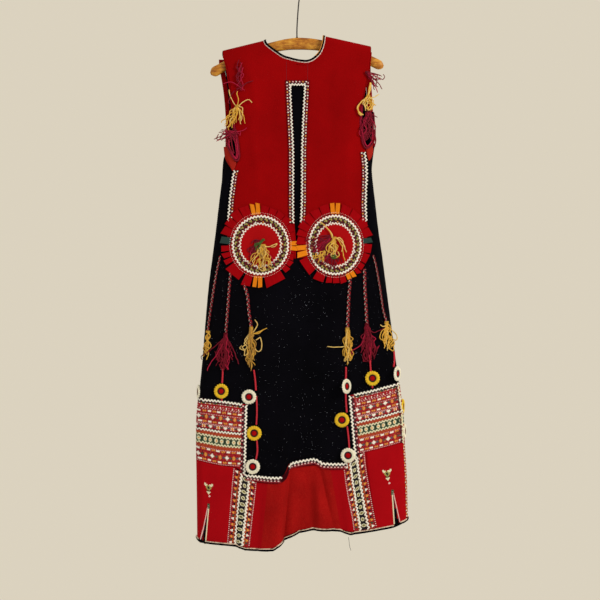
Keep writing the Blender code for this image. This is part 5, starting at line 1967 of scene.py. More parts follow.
def right_edge(z):
    return smooth(OUTLINE, z, 2) - 1.8


BORDER = 11.0
worked_panel(
    "panel_l_needlework",
    left_edge,
    lambda z: left_panel_in(z) - BORDER,
    line_of(LEFT_PANEL_TOP),
    line_of(LEFT_PANEL_FOOT[:3] + ((-100, -1114),)),
    142.0,
)
worked_panel(
    "panel_r_needlework",
    lambda z: right_panel_in(z) + BORDER,
    right_edge,
    line_of(RIGHT_PANEL_TOP),
    line_of(((90, -1092), (128, -1084.5)) + RIGHT_PANEL_FOOT[1:]),
    142.0,
    flip=True,
)

# The border that runs down the inner edge of each panel, and on along the head of the red cloth in the middle
work = Needlework()
out = ON_LAID[0] + 0.2
for inner_x, head, low, side in (
    (left_panel_in, line_of(LEFT_PANEL_TOP), -1131.0, -1),
    (right_panel_in, line_of(RIGHT_PANEL_TOP), -1103.0, 1),
):
    zs = np.linspace(head(inner_x(-960.0)) - 2.0, low, 24)
    edge = [(inner_x(z) - side * 0.3, z) for z in zs]
    inside = [(inner_x(z) + side * BORDER, z) for z in zs]
    lane = Lane(edge, inside)
    charted(work, lane, ["K"], 0.2, 3.4, 4.4, out, fill=1.0, rise=0.15)
    zigzag(work, lane, 1.2, 2.1, 8.3, 3.2, out + 0.5, "W", rise=1.0)
    charted(work, lane, ["K", "D"], 4.5, 4.15, 2.2, out + 0.1, fill=0.95)
    charted(work, lane, ["P", "K", "D", "K"], 6.7, 3.9, 3.2, out + 0.1, fill=0.92)
    charted(work, lane, ["D", "R"], 9.9, 3.4, 1.6, out, fill=0.92)
# Far edge of the right panel and of its cloth, at the side fold
zs = np.linspace(-925, -1062, 20)
lane = Lane([(right_edge(z) - 1.5, z) for z in zs], [(right_edge(z) - 9.5, z) for z in zs])
zigzag(work, lane, 2.4, 1.5, 7.6, 2.0, out + 0.9, "C")
charted(work, lane, ["DK", "KD"], 4.2, 2.3, 1.8, out + 0.6, fill=0.9)
zs = np.linspace(-1066, -1236, 20)
lane = Lane([(right_edge(z) + 0.6, z) for z in zs], [(right_edge(z) - 5.0, z) for z in zs])
charted(work, lane, ["WO", "KT", "OW", "TK"], 0.4, 3.2, 2.0, HEM_LAID[1] + 0.1, fill=0.9)

# Head trim of the middle cloth
head = line_of(CENTRE_HEAD)
for x_from, x_to in ((-124.0, -41.5), (-29.5, 107.0)):
    xs = np.linspace(x_from, x_to, 40)
    lane = Lane([(x, head(x) + 0.3) for x in xs], [(x, head(x) - TRIM_HEIGHT) for x in xs])
    top = ON_HEM[1] + 0.1
    charted(work, lane, ["K"], 0.4, 3.4, 4.4, top, fill=1.0, rise=0.15)
    zigzag(work, lane, 1.7, 2.1, 8.1, 3.2, top + 0.3, "W", rise=1.0)
    charted(work, lane, ["K", "D"], 4.9, 4.05, 2.0, top, fill=0.94)
    charted(work, lane, ["K", "P", "D", "P"], 6.9, 3.9, 3.0, top, fill=0.94)
    charted(work, lane, ["R", "D"], 9.9, 3.9, 2.0, top, fill=0.92)
    charted(work, lane, ["D", "R"], 11.9, 3.9, 1.2, top, fill=0.8)
HEAD_WORK = work.done("hem_head_needlework")


def vertical_band(name, outer_line, inner_line, stop):
    """Pink dots, triangles, rust stripes, rickrack, and ovals with cream stitches beside them, and the same again
    outwards.
    """
    outer_line, inner_line = np.array(outer_line, float), np.array(inner_line, float)
    ts = np.linspace(0, 1, 22)

    def along(line, t):
        t = t * (len(line) - 1)
        k = min(int(t), len(line) - 2)
        return line[k] + (line[k + 1] - line[k]) * (t - k)

    lane = Lane([along(outer_line, t) for t in ts], [along(inner_line, t) for t in ts])
    w = lane.width / 51.6
    work = Needlework()
    top = ON_LAID[0] + 0.2
    ground = ["RDRD" * 7, "DRRR" * 7]
    charted(work, lane, [row[:25] for row in ground], 0.5, 2.0, w * 2.03, top - 0.1, fill=0.85, rise=0.3)
    s = 1.5
    while s < lane.length - 2:
        for side in (0.6, 51.0):
            x, z = lane.at(s, side * w)
            work.dot(x, z, 1.25, top + 0.1, "P", 0.7)
        s += 4.1
    # triangles
    order = "WKOKWKOG"
    for first, base, point, phase in ((0, 9.8, 3.6, 0.0), (1, 42.0, 48.2, 3.0)):
        s, k = 4.0 + phase, 0
        while s < lane.length - 3:
            letter = order[k % len(order)]
            big = letter in "WO"
            half = 3.4 if big else 2.5
            for step in range(4):
                share = (step + 0.5) / 4
                w0 = base + (point - base) * share * (1.0 if big else 0.85)
                size = 2 * half * (1 - share * 0.85)
                x, z = lane.at(s, w0 * w)
                d = lane.direction(s, w0 * w)
                work.stitch(x, z, d, size, abs(point - base) / 4 * w * 1.05, top + 0.3, letter, 0.6)
            s += 6.35
            k += 1
    for w0 in (11.6, 13.8, 37.9, 40.0):
        charted(work, lane, ["T", "T", "T", "D"], w0 * w - 1.0, 2.2, 2.0 * w, top + 0.1, fill=1.0)
    begin = stop
    charted(work, lane, ["K" * 7], 20.2 * w, 2.0, w * 2.1, top + 0.1, start=begin, fill=1.0, rise=0.3)
    zigzag(work, lane, 18.0 * w, 2.1, 8.2, 3.1, top + 0.6, "W", start=begin, rise=1.0)
    zigzag(work, lane, 35.6 * w, 2.1, 8.2, 3.1, top + 0.6, "W", start=begin, rise=1.0)
    for w0 in (15.6, 38.2):
        charted(work, lane, ["K", "D"], w0 * w - 1.0, 2.2, 1.6 * w, top + 0.1, fill=0.9)
    s, k = begin + 7.0, 0
    mid = 26.9
    while s < lane.length - 4:
        # an oval, lying or standing, with an olive bar across it and cream stitches to either side
        n = 12
        a, b = (4.4, 3.0) if k % 2 == 0 else (3.2, 3.6)
        ring = [lane.at(s + b * math.sin(2 * math.pi * m / n), (mid + a * math.cos(2 * math.pi * m / n)) * w) for m in range(n)]
        for p, q in zip(ring, ring[1:] + ring[:1]):
            work.ridge(p, q, 1.7, top + 0.5, 0.7, "C", 0.6)
        if k % 2 == 0:
            work.ridge(lane.at(s, (mid - 2.6) * w), lane.at(s, (mid + 2.6) * w), 1.7, top + 0.5, 0.7, "Y", 0.4)
        else:
            work.ridge(lane.at(s - 2.2, mid * w), lane.at(s + 2.2, mid * w), 1.8, top + 0.6, 0.8, "Y", 0.4)
        for dw in (-1, 1):
            c = s + 7.05
            if c < lane.length - 4:
                work.stitch(*lane.at(c, (mid + dw * 6.6) * w), lane.direction(c, mid * w), 2.6, 2.2, top + 0.5, "C", 0.6)
            work.stitch(*lane.at(s, (mid + dw * 6.7) * w), lane.direction(s, mid * w), 3.2, 1.6, top + 0.5, "C", 0.6)
        s += 14.1
        k += 1
    return work.done(name)


vertical_band(
    "band_l_needlework",
    [(-150, -1116), (-153.5, -1150), (-157.5, -1200), (-161, -1245), (-164.5, -1287)],
    [(-98.5, -1144), (-102, -1180), (-107, -1220), (-111.5, -1258), (-115.5, -1293)],
    4.0,
)
vertical_band(
    "band_r_needlework",
    [(145, -1078), (149, -1115), (157, -1162), (165, -1208), (173.5, -1251)],
    [(99, -1112), (104, -1152), (110, -1190), (116, -1226), (121.5, -1259)],
    4.0,
)

# Slits in the side cloths: their tip, their two feet, and the edging along them
work = Needlework()
for name, tip, foot_l, foot_r, mark_spot in (
    ("side_hem_l", (-206.8, -1199.5), (-225.0, -1287.0), (-214.8, -1289.0), (-206.8, -1166.0)),
    ("side_hem_r", (209.2, -1168.0), (214.0, -1243.5), (225.5, -1239.5), (198.0, -1134.0)),
):
    cut = SHEETS[name]
    cut_mesh = cut.data
    inside = []
    for polygon in cut_mesh.polygons:
        x, z = polygon.center.x / MM, polygon.center.z / MM
        share = (tip[1] - z) / (tip[1] - foot_l[1])
        if share <= 0.06 or share > 1.2:
            continue
        low = tip[0] + (foot_l[0] - tip[0]) * share
        high = tip[0] + (foot_r[0] - tip[0]) * share
        if low + 0.4 < x < high - 0.4:
            inside.append(polygon.index)
    keep = np.ones(len(cut_mesh.polygons), bool)
    keep[inside] = False
    faces = [tuple(p.vertices) for p in cut_mesh.polygons if keep[p.index]]
    verts = [tuple(v.co) for v in cut_mesh.vertices]
    mats = list(cut_mesh.materials)
    marks = [p.material_index for p in cut_mesh.polygons if keep[p.index]]
    smooths = [p.use_smooth for p in cut_mesh.polygons if keep[p.index]]
    new_mesh = bpy.data.meshes.new(name + "_slit")
    new_mesh.from_pydata(verts, [], faces)
    for mat in mats:
        new_mesh.materials.append(mat)
    new_mesh.polygons.foreach_set("use_smooth", smooths)
    new_mesh.polygons.foreach_set("material_index", marks)
    new_mesh.update()
    cut.data = new_mesh
    left_side = name.endswith("_l")
    edge = HEM_LAID[1]
    for foot, letter, width in ((foot_l, "P", 2.0), (foot_r, "C", 2.6)) if left_side else ((foot_l, "C", 2.6), (foot_r, "P", 2.0)):
        steps = 22
        for k in range(steps):
            a, b = k / steps, (k + 1) / steps
            sign = 1 if foot is foot_r else -1
            p = (tip[0] + (foot[0] - tip[0]) * a + sign * 0.8, tip[1] + (foot[1] - tip[1]) * a)
            q = (tip[0] + (foot[0] - tip[0]) * b + sign * 0.8, tip[1] + (foot[1] - tip[1]) * b)
            work.ridge(p, q, width, edge, 0.9, letter, 0.5)
            p2 = (p[0] - sign * 1.9, p[1])
            q2 = (q[0] - sign * 1.9, q[1])
            if k > 2:
                work.ridge(p2, q2, 2.4, edge - 0.6, 0.8, "K", 0.6)
    for k in range(6):
        z = tip[1] + 1.5 - k * 1.9
        work.ridge((tip[0] - 2.6, z), (tip[0] + 2.6, z - 0.4), 2.0, edge + 0.3, 0.9, "G", 0.4)
    # the little mark above the slit: a triangle pointing down and a dot
    x0, z0 = mark_spot
    rows = ("WW.......WW", "WWWW..WWWWW", ".WWYYYYWWW.", "..YYKKYYY..", "..YYKKKYY..", "...YYKYY...", "...KYYYK...", "....KKK....", "...WWWWW...", "....WWW....", ".....W.....")
    tilt = 0.0 if left_side else -0.12
    for r, row in enumerate(rows):
        for c, letter in enumerate(row):
            if letter != ".":
                dx, dz = (c - 5) * 1.85, 13.5 - r * 2.3
                work.stitch(x0 + dx - dz * tilt * -1, z0 + dz + dx * 0.15 * (-1 if left_side else 1), (0, 1), 2.5, 1.9, edge + 0.05, "C" if letter == "W" else letter, 0.5)
    for dx, dz in ((0, 0), (1.6, 1.2), (-1.4, 1.0), (0.2, 2.4)):
        work.dot(x0 + dx + (2 if left_side else 4), z0 - 15.5 + dz - (0 if left_side else 2), 1.3, edge, "P", 0.5)
SLIT_WORK = work.done("slit_needlework")

# Hem edge: a cream line over a rolled black edge
pile = Pile()
hem_line = line_of(HEM)
xs = np.arange(-232, 240, 2.0)
slits = ((-226.0, -214.5), (214.0, 226.5))
for start, end in ((-234, -226), (-214.5, 214.0), (226.5, 240)):
    run = np.arange(start, end + 0.1, 2.2)
    if len(run) < 3:
        run = np.linspace(start, end, 4)
    black = [(x, hem_line(x) + 1.6, HEM_LAID[1] + 0.2) for x in run]
    cream = [(x, hem_line(x) + 4.9, HEM_LAID[1] + 0.9) for x in run]
    tube(pile, on_wall(black), 2.1 * MM * (1 + 0.1 * RNG.normal(size=len(run)).clip(-1, 1)), 0, 8)
    tube(pile, on_wall(cream), 1.45 * MM * (1 + 0.08 * RNG.normal(size=len(run)).clip(-1, 1)), 1, 7)
HEM_EDGE = pile.done("hem_edge_roll", [MAT_BLACK, MAT_CREAM_EDGE])
# A loose dark thread at the hem
pile = Pile()
tube(pile, on_wall(catmull([(110, -1271, 5.5), (111.5, -1281, 7), (112.5, -1292, 8), (113.8, -1301, 7.5)], 5)), 0.45 * MM, 0, 5)
LOOSE = pile.done("loose_thread", [THREADS["K"]])


# ------------------------------------------------------------------ plaits, tassels, rosettes and cords
for name, full, points in BRAIDS:
    width = full * 0.66
    first, second = np.array(points[0], float), np.array(points[1], float)
    lead = first - (second - first) / np.linalg.norm(second - first) * 11.0
    points = (tuple(lead), *points)
    fine = catmull(points, 14)
    runs = np.concatenate([[0], np.cumsum(np.linalg.norm(np.diff(fine, axis=0), axis=1))])
    count = int(runs[-1] / 0.9)
    s = np.linspace(0, runs[-1], count)
    line = np.stack([np.interp(s, runs, fine[:, 0]), np.interp(s, runs, fine[:, 1])], -1)
    d = np.gradient(line, axis=0)
    d /= np.linalg.norm(d, axis=1, keepdims=True)
    n = np.stack([d[:, 1], -d[:, 0]], -1)
    pitch = 8.0 + width * 0.6
    pile = Pile()
    for k in range(3):
        phase = 2 * math.pi * (s / pitch + k / 3.0)
        for sub in (-1, 1):
            across = width * 0.30 * np.sin(phase) + sub * width * 0.09
            up = LAID[0] + 2.3 + 0.95 * np.sin(2 * phase + 0.4)
            path = np.stack([line[:, 0] + n[:, 0] * across, line[:, 1] + n[:, 1] * across, up], -1)
            mark = 3 if (k, sub) == (2, 1) else k
            tube(pile, on_wall(path), width * (0.095 if mark == 3 else 0.155) * MM, mark, 6)
    made = pile.done(name + "_plait", [MAT_RED_YARN, THREADS["K"], THREADS["D"], THREADS["W"]])
    middle = on_wall(np.stack([line[:, 0], line[:, 1], np.full(len(line), LAID[0] + 2.3)], -1))
    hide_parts(name)

YELLOWS = [MAT_YELLOW, MAT_YELLOW_PALE, MAT_OCHRE]
CRIMSONS = [MAT_CRIMSON, MAT_CRIMSON_LIGHT, MAT_CRIMSON]
tassel("tassel_l1_yarn", (-208, -809), (-219, -207, -850, -873), 11, 1.15, YELLOWS, stand=2.6, bulk=4.5, knot_size=(3.4, 5), replace="tassel_l1", loops=0.1)
tassel("tassel_l2_yarn", (-168.5, -815), (-191, -154, -860, -900), 30, 1.05, CRIMSONS,
       [(0, [(-169, -818), (-190, -838), (ux(204), uz(356)), (ux(203), uz(360))]), (1, [(-169, -822), (-188, -858), (ux(209), uz(366)), (ux(208), uz(371))]),
        (0, [(-167, -818), (-152, -846), (ux(237.7), uz(361)), (ux(239), uz(364))])], replace="tassel_l2", knot_size=(4.2, 8))
tassel("tassel_l3_yarn", (-110.5, -801), (-125, -98, -850, -895), 19, 1.1, YELLOWS,
       [(1, [(ux(253), uz(333)), (ux(257.5), uz(325)), (ux(255.4), uz(319.8))]), (0, [(ux(253), uz(334)), (ux(259.7), uz(331.4)), (ux(267), uz(328.2))]),
        (1, [(ux(256), uz(340)), (ux(260.7), uz(337.7)), (ux(261.8), uz(347.2)), (ux(258.6), uz(351.5)), (ux(255), uz(348))]),
        (0, [(ux(252), uz(333)), (ux(258), uz(333.5)), (ux(262.5), uz(330.5))])], replace="tassel_l3", knot_size=(4.0, 8))
tassel("tassel_r1_yarn", (107.5, -803), (98, 118, -850, -884), 18, 1.1, YELLOWS,
       [(1, [(105, -815), (ux(345), uz(345.6)), (ux(336), uz(347)), (ux(327), uz(346.5))])], replace="tassel_r1", knot_size=(4.2, 8))
tassel("tassel_r2_yarn", (152, -794), (141, 175, -842, -878), 30, 1.05, CRIMSONS,
       [(1, [(148, -812), (138, -838), (ux(352.5), uz(350)), (ux(352), uz(355))]), (0, [(152, -795), (ux(372), uz(332)), (ux(377), uz(331.6)), (ux(384), uz(328.4))])], replace="tassel_r2", knot_size=(4.4, 8))
tassel("tassel_r3_yarn", (195.5, -788), (188, 209, -828, -852), 14, 1.15, YELLOWS,
       [(0, [(ux(388.4), uz(327.2)), (ux(381), uz(331.4)), (ux(380), uz(337.7)), (ux(384.2), uz(340.9)), (ux(387.3), uz(337.7))]),
        (1, [(ux(387), uz(325)), (ux(383), uz(326.5)), (ux(380), uz(325))]),
        (1, [(ux(390), uz(330)), (ux(394.5), uz(334.0)), (ux(396), uz(340)), (ux(393), uz(339.9))])], stand=2.6, bulk=4.5, replace="tassel_r3", knot_size=(3.4, 6))

# Yarn at the armholes
STAND = ON_TRIM + 0.6


def units(points, stand=None):
    return [(ux(p[0]), uz(p[1])) if stand is None else (ux(p[0]), uz(p[1]), stand) for p in points]


wisps = [
    (0, units([(239, 59), (237, 66), (241.5, 72.5), (236.5, 78.5), (239, 82.5)])),
    (1, units([(242, 62), (239, 70), (243.5, 74), (239.5, 81), (237, 86)])),
    (0, units([(236, 66), (238.5, 71), (236, 76), (241, 84), (240, 90)])),
    (1, units([(223.5, 83), (230.5, 81.4), (237, 84.4), (244.5, 90)])),
    (0, units([(253, 80.6), (246, 83), (240.8, 87.5), (236, 88)])),
    (0, units([(234.5, 90), (231, 95), (228.5, 101), (229.5, 103)])),
    (1, units([(243, 67), (240.5, 76), (243, 83), (241.6, 90)])),
    (0, units([(240, 61.5), (241.5, 67), (238, 75), (239.6, 84), (236.5, 92)])),
]
tassel("armhole_tassel_l_yarn", (ux(237.6), uz(106)), (ux(222.5), ux(235), uz(121), uz(127.5)), 15, 1.1, YELLOWS,
       [(1, units([(229, 89), (229.5, 94), (232.6, 100), (235.5, 105.5)])), (0, units([(237.6, 90.6), (237, 94), (238.4, 100), (237.6, 106)])),
        (1, units([(238.9, 105.6), (244.5, 100.6), (249.5, 99.4), (252.6, 102.3)])), (0, units([(238, 107), (242, 112), (245.6, 123.5)])),
        (1, units([(238, 107), (240, 113), (240.6, 124)])), (0, units([(238, 107), (236.5, 115), (235.6, 122.5)])),
        (1, units([(239, 106), (242.5, 108), (242, 117), (240.8, 121)])), (0, units([(238, 107), (239.4, 115), (238.6, 120)]))],
       stand=STAND, bulk=4.0, knot_size=(3.6, 5), replace="armhole_tassel_l", loops=0.1)
tassel("armhole_tassel_l_crimson", (ux(234.5), uz(131)), (ux(219), ux(238), uz(128), uz(142)), 30, 1.1, CRIMSONS,
       wisps + [(0, units([(234, 132), (228, 133), (221, 135), (216.4, 138)])), (1, units([(234, 133), (226, 136), (219, 140)])),
        (1, units([(235, 132), (240, 131), (244, 130), (247, 127.5)])), (0, units([(234, 131), (227, 130), (221, 129.5)]))],
       stand=STAND, bulk=4.5, knot_size=(4.0, 6), replace=None, loops=0.3, spread_top=5)
tassel("armhole_tassel_r_top", (ux(366.8), uz(72)), (ux(372), ux(381), uz(74), uz(90)), 16, 1.1, CRIMSONS,
       [(0, units([(367, 71.5), (374, 72.5), (382, 75.6)])), (1, units([(367, 72), (375, 75), (381, 79)])), (0, units([(368, 73), (377, 81), (382.6, 88.5)])),
        (1, units([(368, 74), (374, 83), (377.5, 92)])), (0, units([(368, 71), (376, 73.5), (380, 75)]))],
       stand=STAND, bulk=4.0, knot_size=(3.0, 5), replace=None, loops=0.1, spread_top=4)
yellow_r = []
for k in range(7):
    o = k * 0.75
    yellow_r.append((k % 2, units([(370.2 + o * 0.25, 82), (369 + o * 0.3, 89), (367.2, 97 - o * 0.2), (360 - o * 0.3 + 1.5, 101 + o * 0.3), (356.8 - o * 0.2 + 1.2, 107 + o * 0.3), (358.6 + o * 0.5, 112.5), (361.0 + o * 0.5, 115.4 - o * 0.2)])))
yellow_r += [
    (1, units([(371, 97), (375.5, 96), (379.4, 93.8)])), (0, units([(371, 103), (374, 104), (376.2, 104.8)])),
    (0, units([(367, 97), (371.5, 98), (372, 104), (369, 109), (366.2, 107.5)])), (1, units([(366, 98), (363.4, 102), (366, 108), (365.5, 110)])),
    (1, units([(368, 97), (373.4, 100), (371, 107), (367.5, 111)])),
]
tassel("armhole_tassel_r_yarn", (ux(368.3), uz(96)), (ux(363), ux(373), uz(105), uz(110)), 10, 1.1, YELLOWS, yellow_r,
       stand=STAND, bulk=3.5, knot_size=(4.4, 5), replace="armhole_tassel_r", loops=0.4, spread_top=4)
tassel("armhole_tassel_r_crimson", (ux(368.7), uz(112.5)), (ux(360.5), ux(373.5), uz(127), uz(139)), 30, 1.1, CRIMSONS,
       [(0, units([(370, 113), (374, 115), (376.9, 117)])), (1, units([(371, 118), (374, 123), (376, 127)])), (0, units([(370, 112), (371.5, 108), (373, 106)]))],
       stand=STAND, bulk=4.5, knot_size=(4.6, 8), replace=None, loops=0.35, spread_top=6)

# Yarn in the middle of the discs
DSTAND = ON_TRIM + 0.3
tassel("disc_tassel_l_yarn", (ux(263.2), uz(246)), (ux(250), ux(275.5), uz(262), uz(271)), 26, 1.1, YELLOWS,
       [(1, units([(263.5, 246.5), (269.4, 246.7), (273.7, 245.3), (277.4, 244.1), (275.4, 246.5), (271, 247.5)]))],
       stand=DSTAND + 1, bulk=3.5, knot_size=(5.0, 5), replace="disc_tassel_l", loops=0.15, spread_top=6)
tassel("disc_tassel_l_crimson", (ux(257.5), uz(241.5)), (ux(249), ux(257), uz(250), uz(263)), 20, 1.1, CRIMSONS,
       [(0, units([(262, 241), (255, 240), (251, 244)])), (1, units([(264, 248), (272, 258), (275.5, 266)]))],
       stand=DSTAND, bulk=3.0, knot_size=(5.0, 5), loops=0.3, spread_top=6)
tassel("disc_tassel_l_green", (ux(263.5), uz(240.6)), (ux(254.5), ux(259), uz(245), uz(249)), 10, 1.1, [MAT_GREEN],
       stand=DSTAND + 3.5, bulk=1.5, knot_size=(3.0, 4), loops=0.0)
tassel("disc_tassel_r_crimson", (ux(331), uz(237)), (ux(311.5), ux(328), uz(240), uz(263)), 34, 1.1, CRIMSONS,
       [(0, units([(331, 236), (322, 236), (313, 241), (311, 248)])), (0, units([(329, 236), (319, 241), (312, 252)]))],
       stand=DSTAND, bulk=3.0, knot_size=(4.5, 6), replace=None, loops=0.25, spread_top=6)
tassel("disc_tassel_r_low", (ux(331), uz(253)), (ux(321), ux(341), uz(259), uz(268)), 18, 1.1, CRIMSONS,
       stand=DSTAND, bulk=3.0, knot_size=(3.5, 4), loops=0.25, spread_top=9)
tassel("disc_tassel_r_clump", (ux(324), uz(252)), (ux(313), ux(323), uz(256), uz(264)), 10, 1.1, YELLOWS,
       stand=DSTAND + 1.5, bulk=2.5, knot_size=(1.5, 3), loops=0.3, spread_top=4)
tassel("disc_tassel_r_green", (ux(334), uz(256)), (ux(332), ux(336), uz(258), uz(261)), 5, 1.0, [MAT_GREEN],
       stand=DSTAND + 3.0, bulk=1.0, knot_size=(1.5, 3), loops=0.0)
tassel("disc_tassel_r_yarn", (ux(334.0), uz(239.0)), (ux(326), ux(338), uz(249), uz(256)), 14, 1.1, YELLOWS,
       [(1, units([(332.5, 239), (331, 233.5), (326, 227), (319.6, 221.6)])), (0, units([(331.5, 238), (329.5, 232), (324.5, 225.6), (320.5, 222.4)])),
        (1, units([(336, 238), (341, 241.5), (344, 247), (346.5, 252.5)])), (0, units([(337, 239), (342, 247), (343, 255), (344.5, 261)])),
        (1, units([(336, 239), (340, 238), (343, 245), (341, 252)])), (0, units([(334, 240), (326.5, 246), (327, 251), (331, 253)]))],
       stand=DSTAND + 2.0, bulk=3.0, knot_size=(4.6, 6), replace="disc_tassel_r", loops=0.4)


def crochet(name, centre, normal, gold, node, turn=0.0, size=1.0):
    """A crocheted ring of eighteen stitches round a dark ring and a red felt middle. Sizes in mm about its centre."""
    normal = np.array(normal, float)
    normal /= np.linalg.norm(normal)
    side = np.cross([0.0, 0.0, 1.0], normal)
    side /= np.linalg.norm(side)
    up = np.cross(normal, side)
    pile = Pile()

    def place(points):
        points = np.asarray(points, float) * size
        return (np.asarray(centre) + points[:, :1] * side * MM + points[:, 1:2] * up * MM + points[:, 2:] * normal * MM)

    around, across = 108, 10
    phase = RNG.uniform(0, 6)
    uneven = RNG.normal(0, 0.02, 18)
    verts = []
    for k in range(around):
        a = 2 * math.pi * k / around
        stitch = 0.5 + 0.5 * math.cos(18 * a + phase)
        own = 1 + uneven[int(k / 6) % 18]
        for m in range(across):
            b = 2 * math.pi * m / across
            outer = math.cos(b)
            r = 12.0 * own + (3.4 + 1.9 * stitch * (outer > 0)) * outer
            h = (1.75 + 0.75 * stitch) * math.sin(b) + 0.4 * math.sin(9 * a + phase) * (math.sin(b) > 0)
            skew = 0.05 * outer
            verts.append((r * math.cos(a + skew), r * math.sin(a + skew), h + 0.3))
    faces = []
    for k in range(around):
        for m in range(across):
            a, b = k * across + m, k * across + (m + 1) % across
            c, d = ((k + 1) % around) * across + (m + 1) % across, ((k + 1) % around) * across + m
            faces.append((a, d, c, b))
    pile.add(place(verts), faces, 0)
    # stitch loops over the ring
    for k in range(36):
        a = 2 * math.pi * (k + 0.5) / 36 + phase
        path = [
            (r * math.cos(a + turn_), r * math.sin(a + turn_), h)
            for r, h, turn_ in ((8.6, 1.2, -0.03), (10.4, 2.6, 0.0), (13.0, 3.0, 0.03), (15.4, 2.1, 0.06), (16.4, 0.4, 0.07))
        ]
        tube(pile, place(catmull(path, 3)), 0.62 * MM * size, 0, 5)
    ring = [(7.4 * math.cos(a), 7.4 * math.sin(a), 1.2) for a in np.linspace(0, 2 * math.pi, 37)]
    tube(pile, place(ring), 1.7 * MM * size, 1, 7)
    # red felt middle
    verts, faces = [(0, 0, 2.2)], []
    for m, (r, h) in enumerate(((2.2, 2.2), (4.2, 1.9), (5.6, 1.3), (6.2, -0.6))):
        for k in range(20):
            a = 2 * math.pi * k / 20
            verts.append((r * math.cos(a), r * math.sin(a), h + 0.25 * math.sin(5 * a + phase) + 0.2 * RNG.normal()))
    for k in range(20):
        faces.append((0, 1 + k, 1 + (k + 1) % 20))
        for m in range(3):
            a, b = 1 + m * 20 + k, 1 + m * 20 + (k + 1) % 20
            faces.append((a, a + 20, b + 20, b))
    pile.add(place(verts), faces, 2)
    made = pile.done(name, [MAT_GOLD if gold else MAT_WHITE, MAT_DARK_RING, MAT_DISC])
    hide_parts(node)
    return made


GOLDEN = ("rosette_l1", "rosette_l3", "rosette_r2", "rosette_r4", "rosette_r6")
MOVED = {
    "rosette_l2": (-116, -955), "rosette_l3": (-104, -1037), "rosette_l4": (-107, -1112), "rosette_r2": (164, -913),
    "rosette_r3": (215, -903), "rosette_r5": (109, -1087),
}
for name, x, z, stand in ROSETTES:
    x, z = MOVED.get(name, (x, z))
    if name in ("rosette_l4", "rosette_r5"):
        stand += 2.0
    one = np.array([float(x)]), np.array([float(z)])
    low = wall_xyz(-1, one[0], one[1], np.array([stand + 1.7]))[0]
    high = wall_xyz(-1, one[0], one[1], np.array([stand + 2.7]))[0]
    normal = (high - low) / MM
    centre = low
    if name == "rosette_r1":
        turned = math.radians(52)
        normal = np.array([math.sin(turned), -math.cos(turned), 0.05])
        centre = low + np.array([0.0, -0.0115, 0.0])
    if name == "rosette_r3":
        turned = math.radians(60)
        normal = np.array([math.sin(turned), -math.cos(turned), 0.0])
        centre = low + np.array([0.002, -0.004, 0.0])
    made = crochet(name + "_crochet", centre, normal, name in GOLDEN, name)
for name, z, side in SIDE_ROSETTES:
    z = {"rosette_l5": -946, "rosette_r6": -979, "rosette_r7": -1036}[name]
    edge = smooth(OUTLINE, z, 1 if side < 0 else 2)
    centre = np.array([edge + side * 2.6, -3.0, z]) * MM
    made = crochet(name + "_crochet", centre, (side, -0.22, 0.0), name in GOLDEN, name)

# Red cords from tassel to rosette to panel
CORD_PATHS = (
    ("cord_l2", [(223, 369), (222.7, 378), (222.3, 383)]),
    (None, [(222, 398), (222, 401)]),
    ("cord_l3", [(254, 370), (255.4, 381), (256, 390)]),
    (None, [(256.5, 396), (257, 410), (256.4, 424.6)]),
    (None, [(257, 440), (257.6, 450), (256.2, 459)]),
    ("cord_r1", [(345.8, 367), (345.9, 373), (345.6, 380)]),
    (None, [(345.7, 392), (346, 402), (346.7, 412)]),
    (None, [(347.0, 426), (348.4, 437), (349.2, 448)]),
    (None, [(369.3, 355), (370, 363), (370.7, 372)]),
    (None, [(393.2, 352), (393.6, 360), (393, 367)]),
    (None, [(372, 385), (372.3, 388)]),
)
for number, (node, points) in enumerate(CORD_PATHS):
    pile = Pile()
    path = catmull([(ux(x), uz(y), BODY_OUT + SEAM + 1.9 + (3.0 if node is None and number == 4 else 0.0)) for x, y in points], 10)
    base = on_wall(path)
    # two plies laid round each other
    runs = np.concatenate([[0], np.cumsum(np.linalg.norm(np.diff(path, axis=0), axis=1))])
    for ply in range(2):
        a = runs / 1.3 + ply * math.pi
        twist = path + np.stack([0.75 * np.cos(a), np.zeros_like(a), 0.6 * np.sin(a)], -1)
        tube(pile, on_wall(twist), 1.5 * MM, 0, 7)
    made = pile.done(f"cord_piece_{number}", [MAT_CORD])
    if node:
        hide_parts(node)


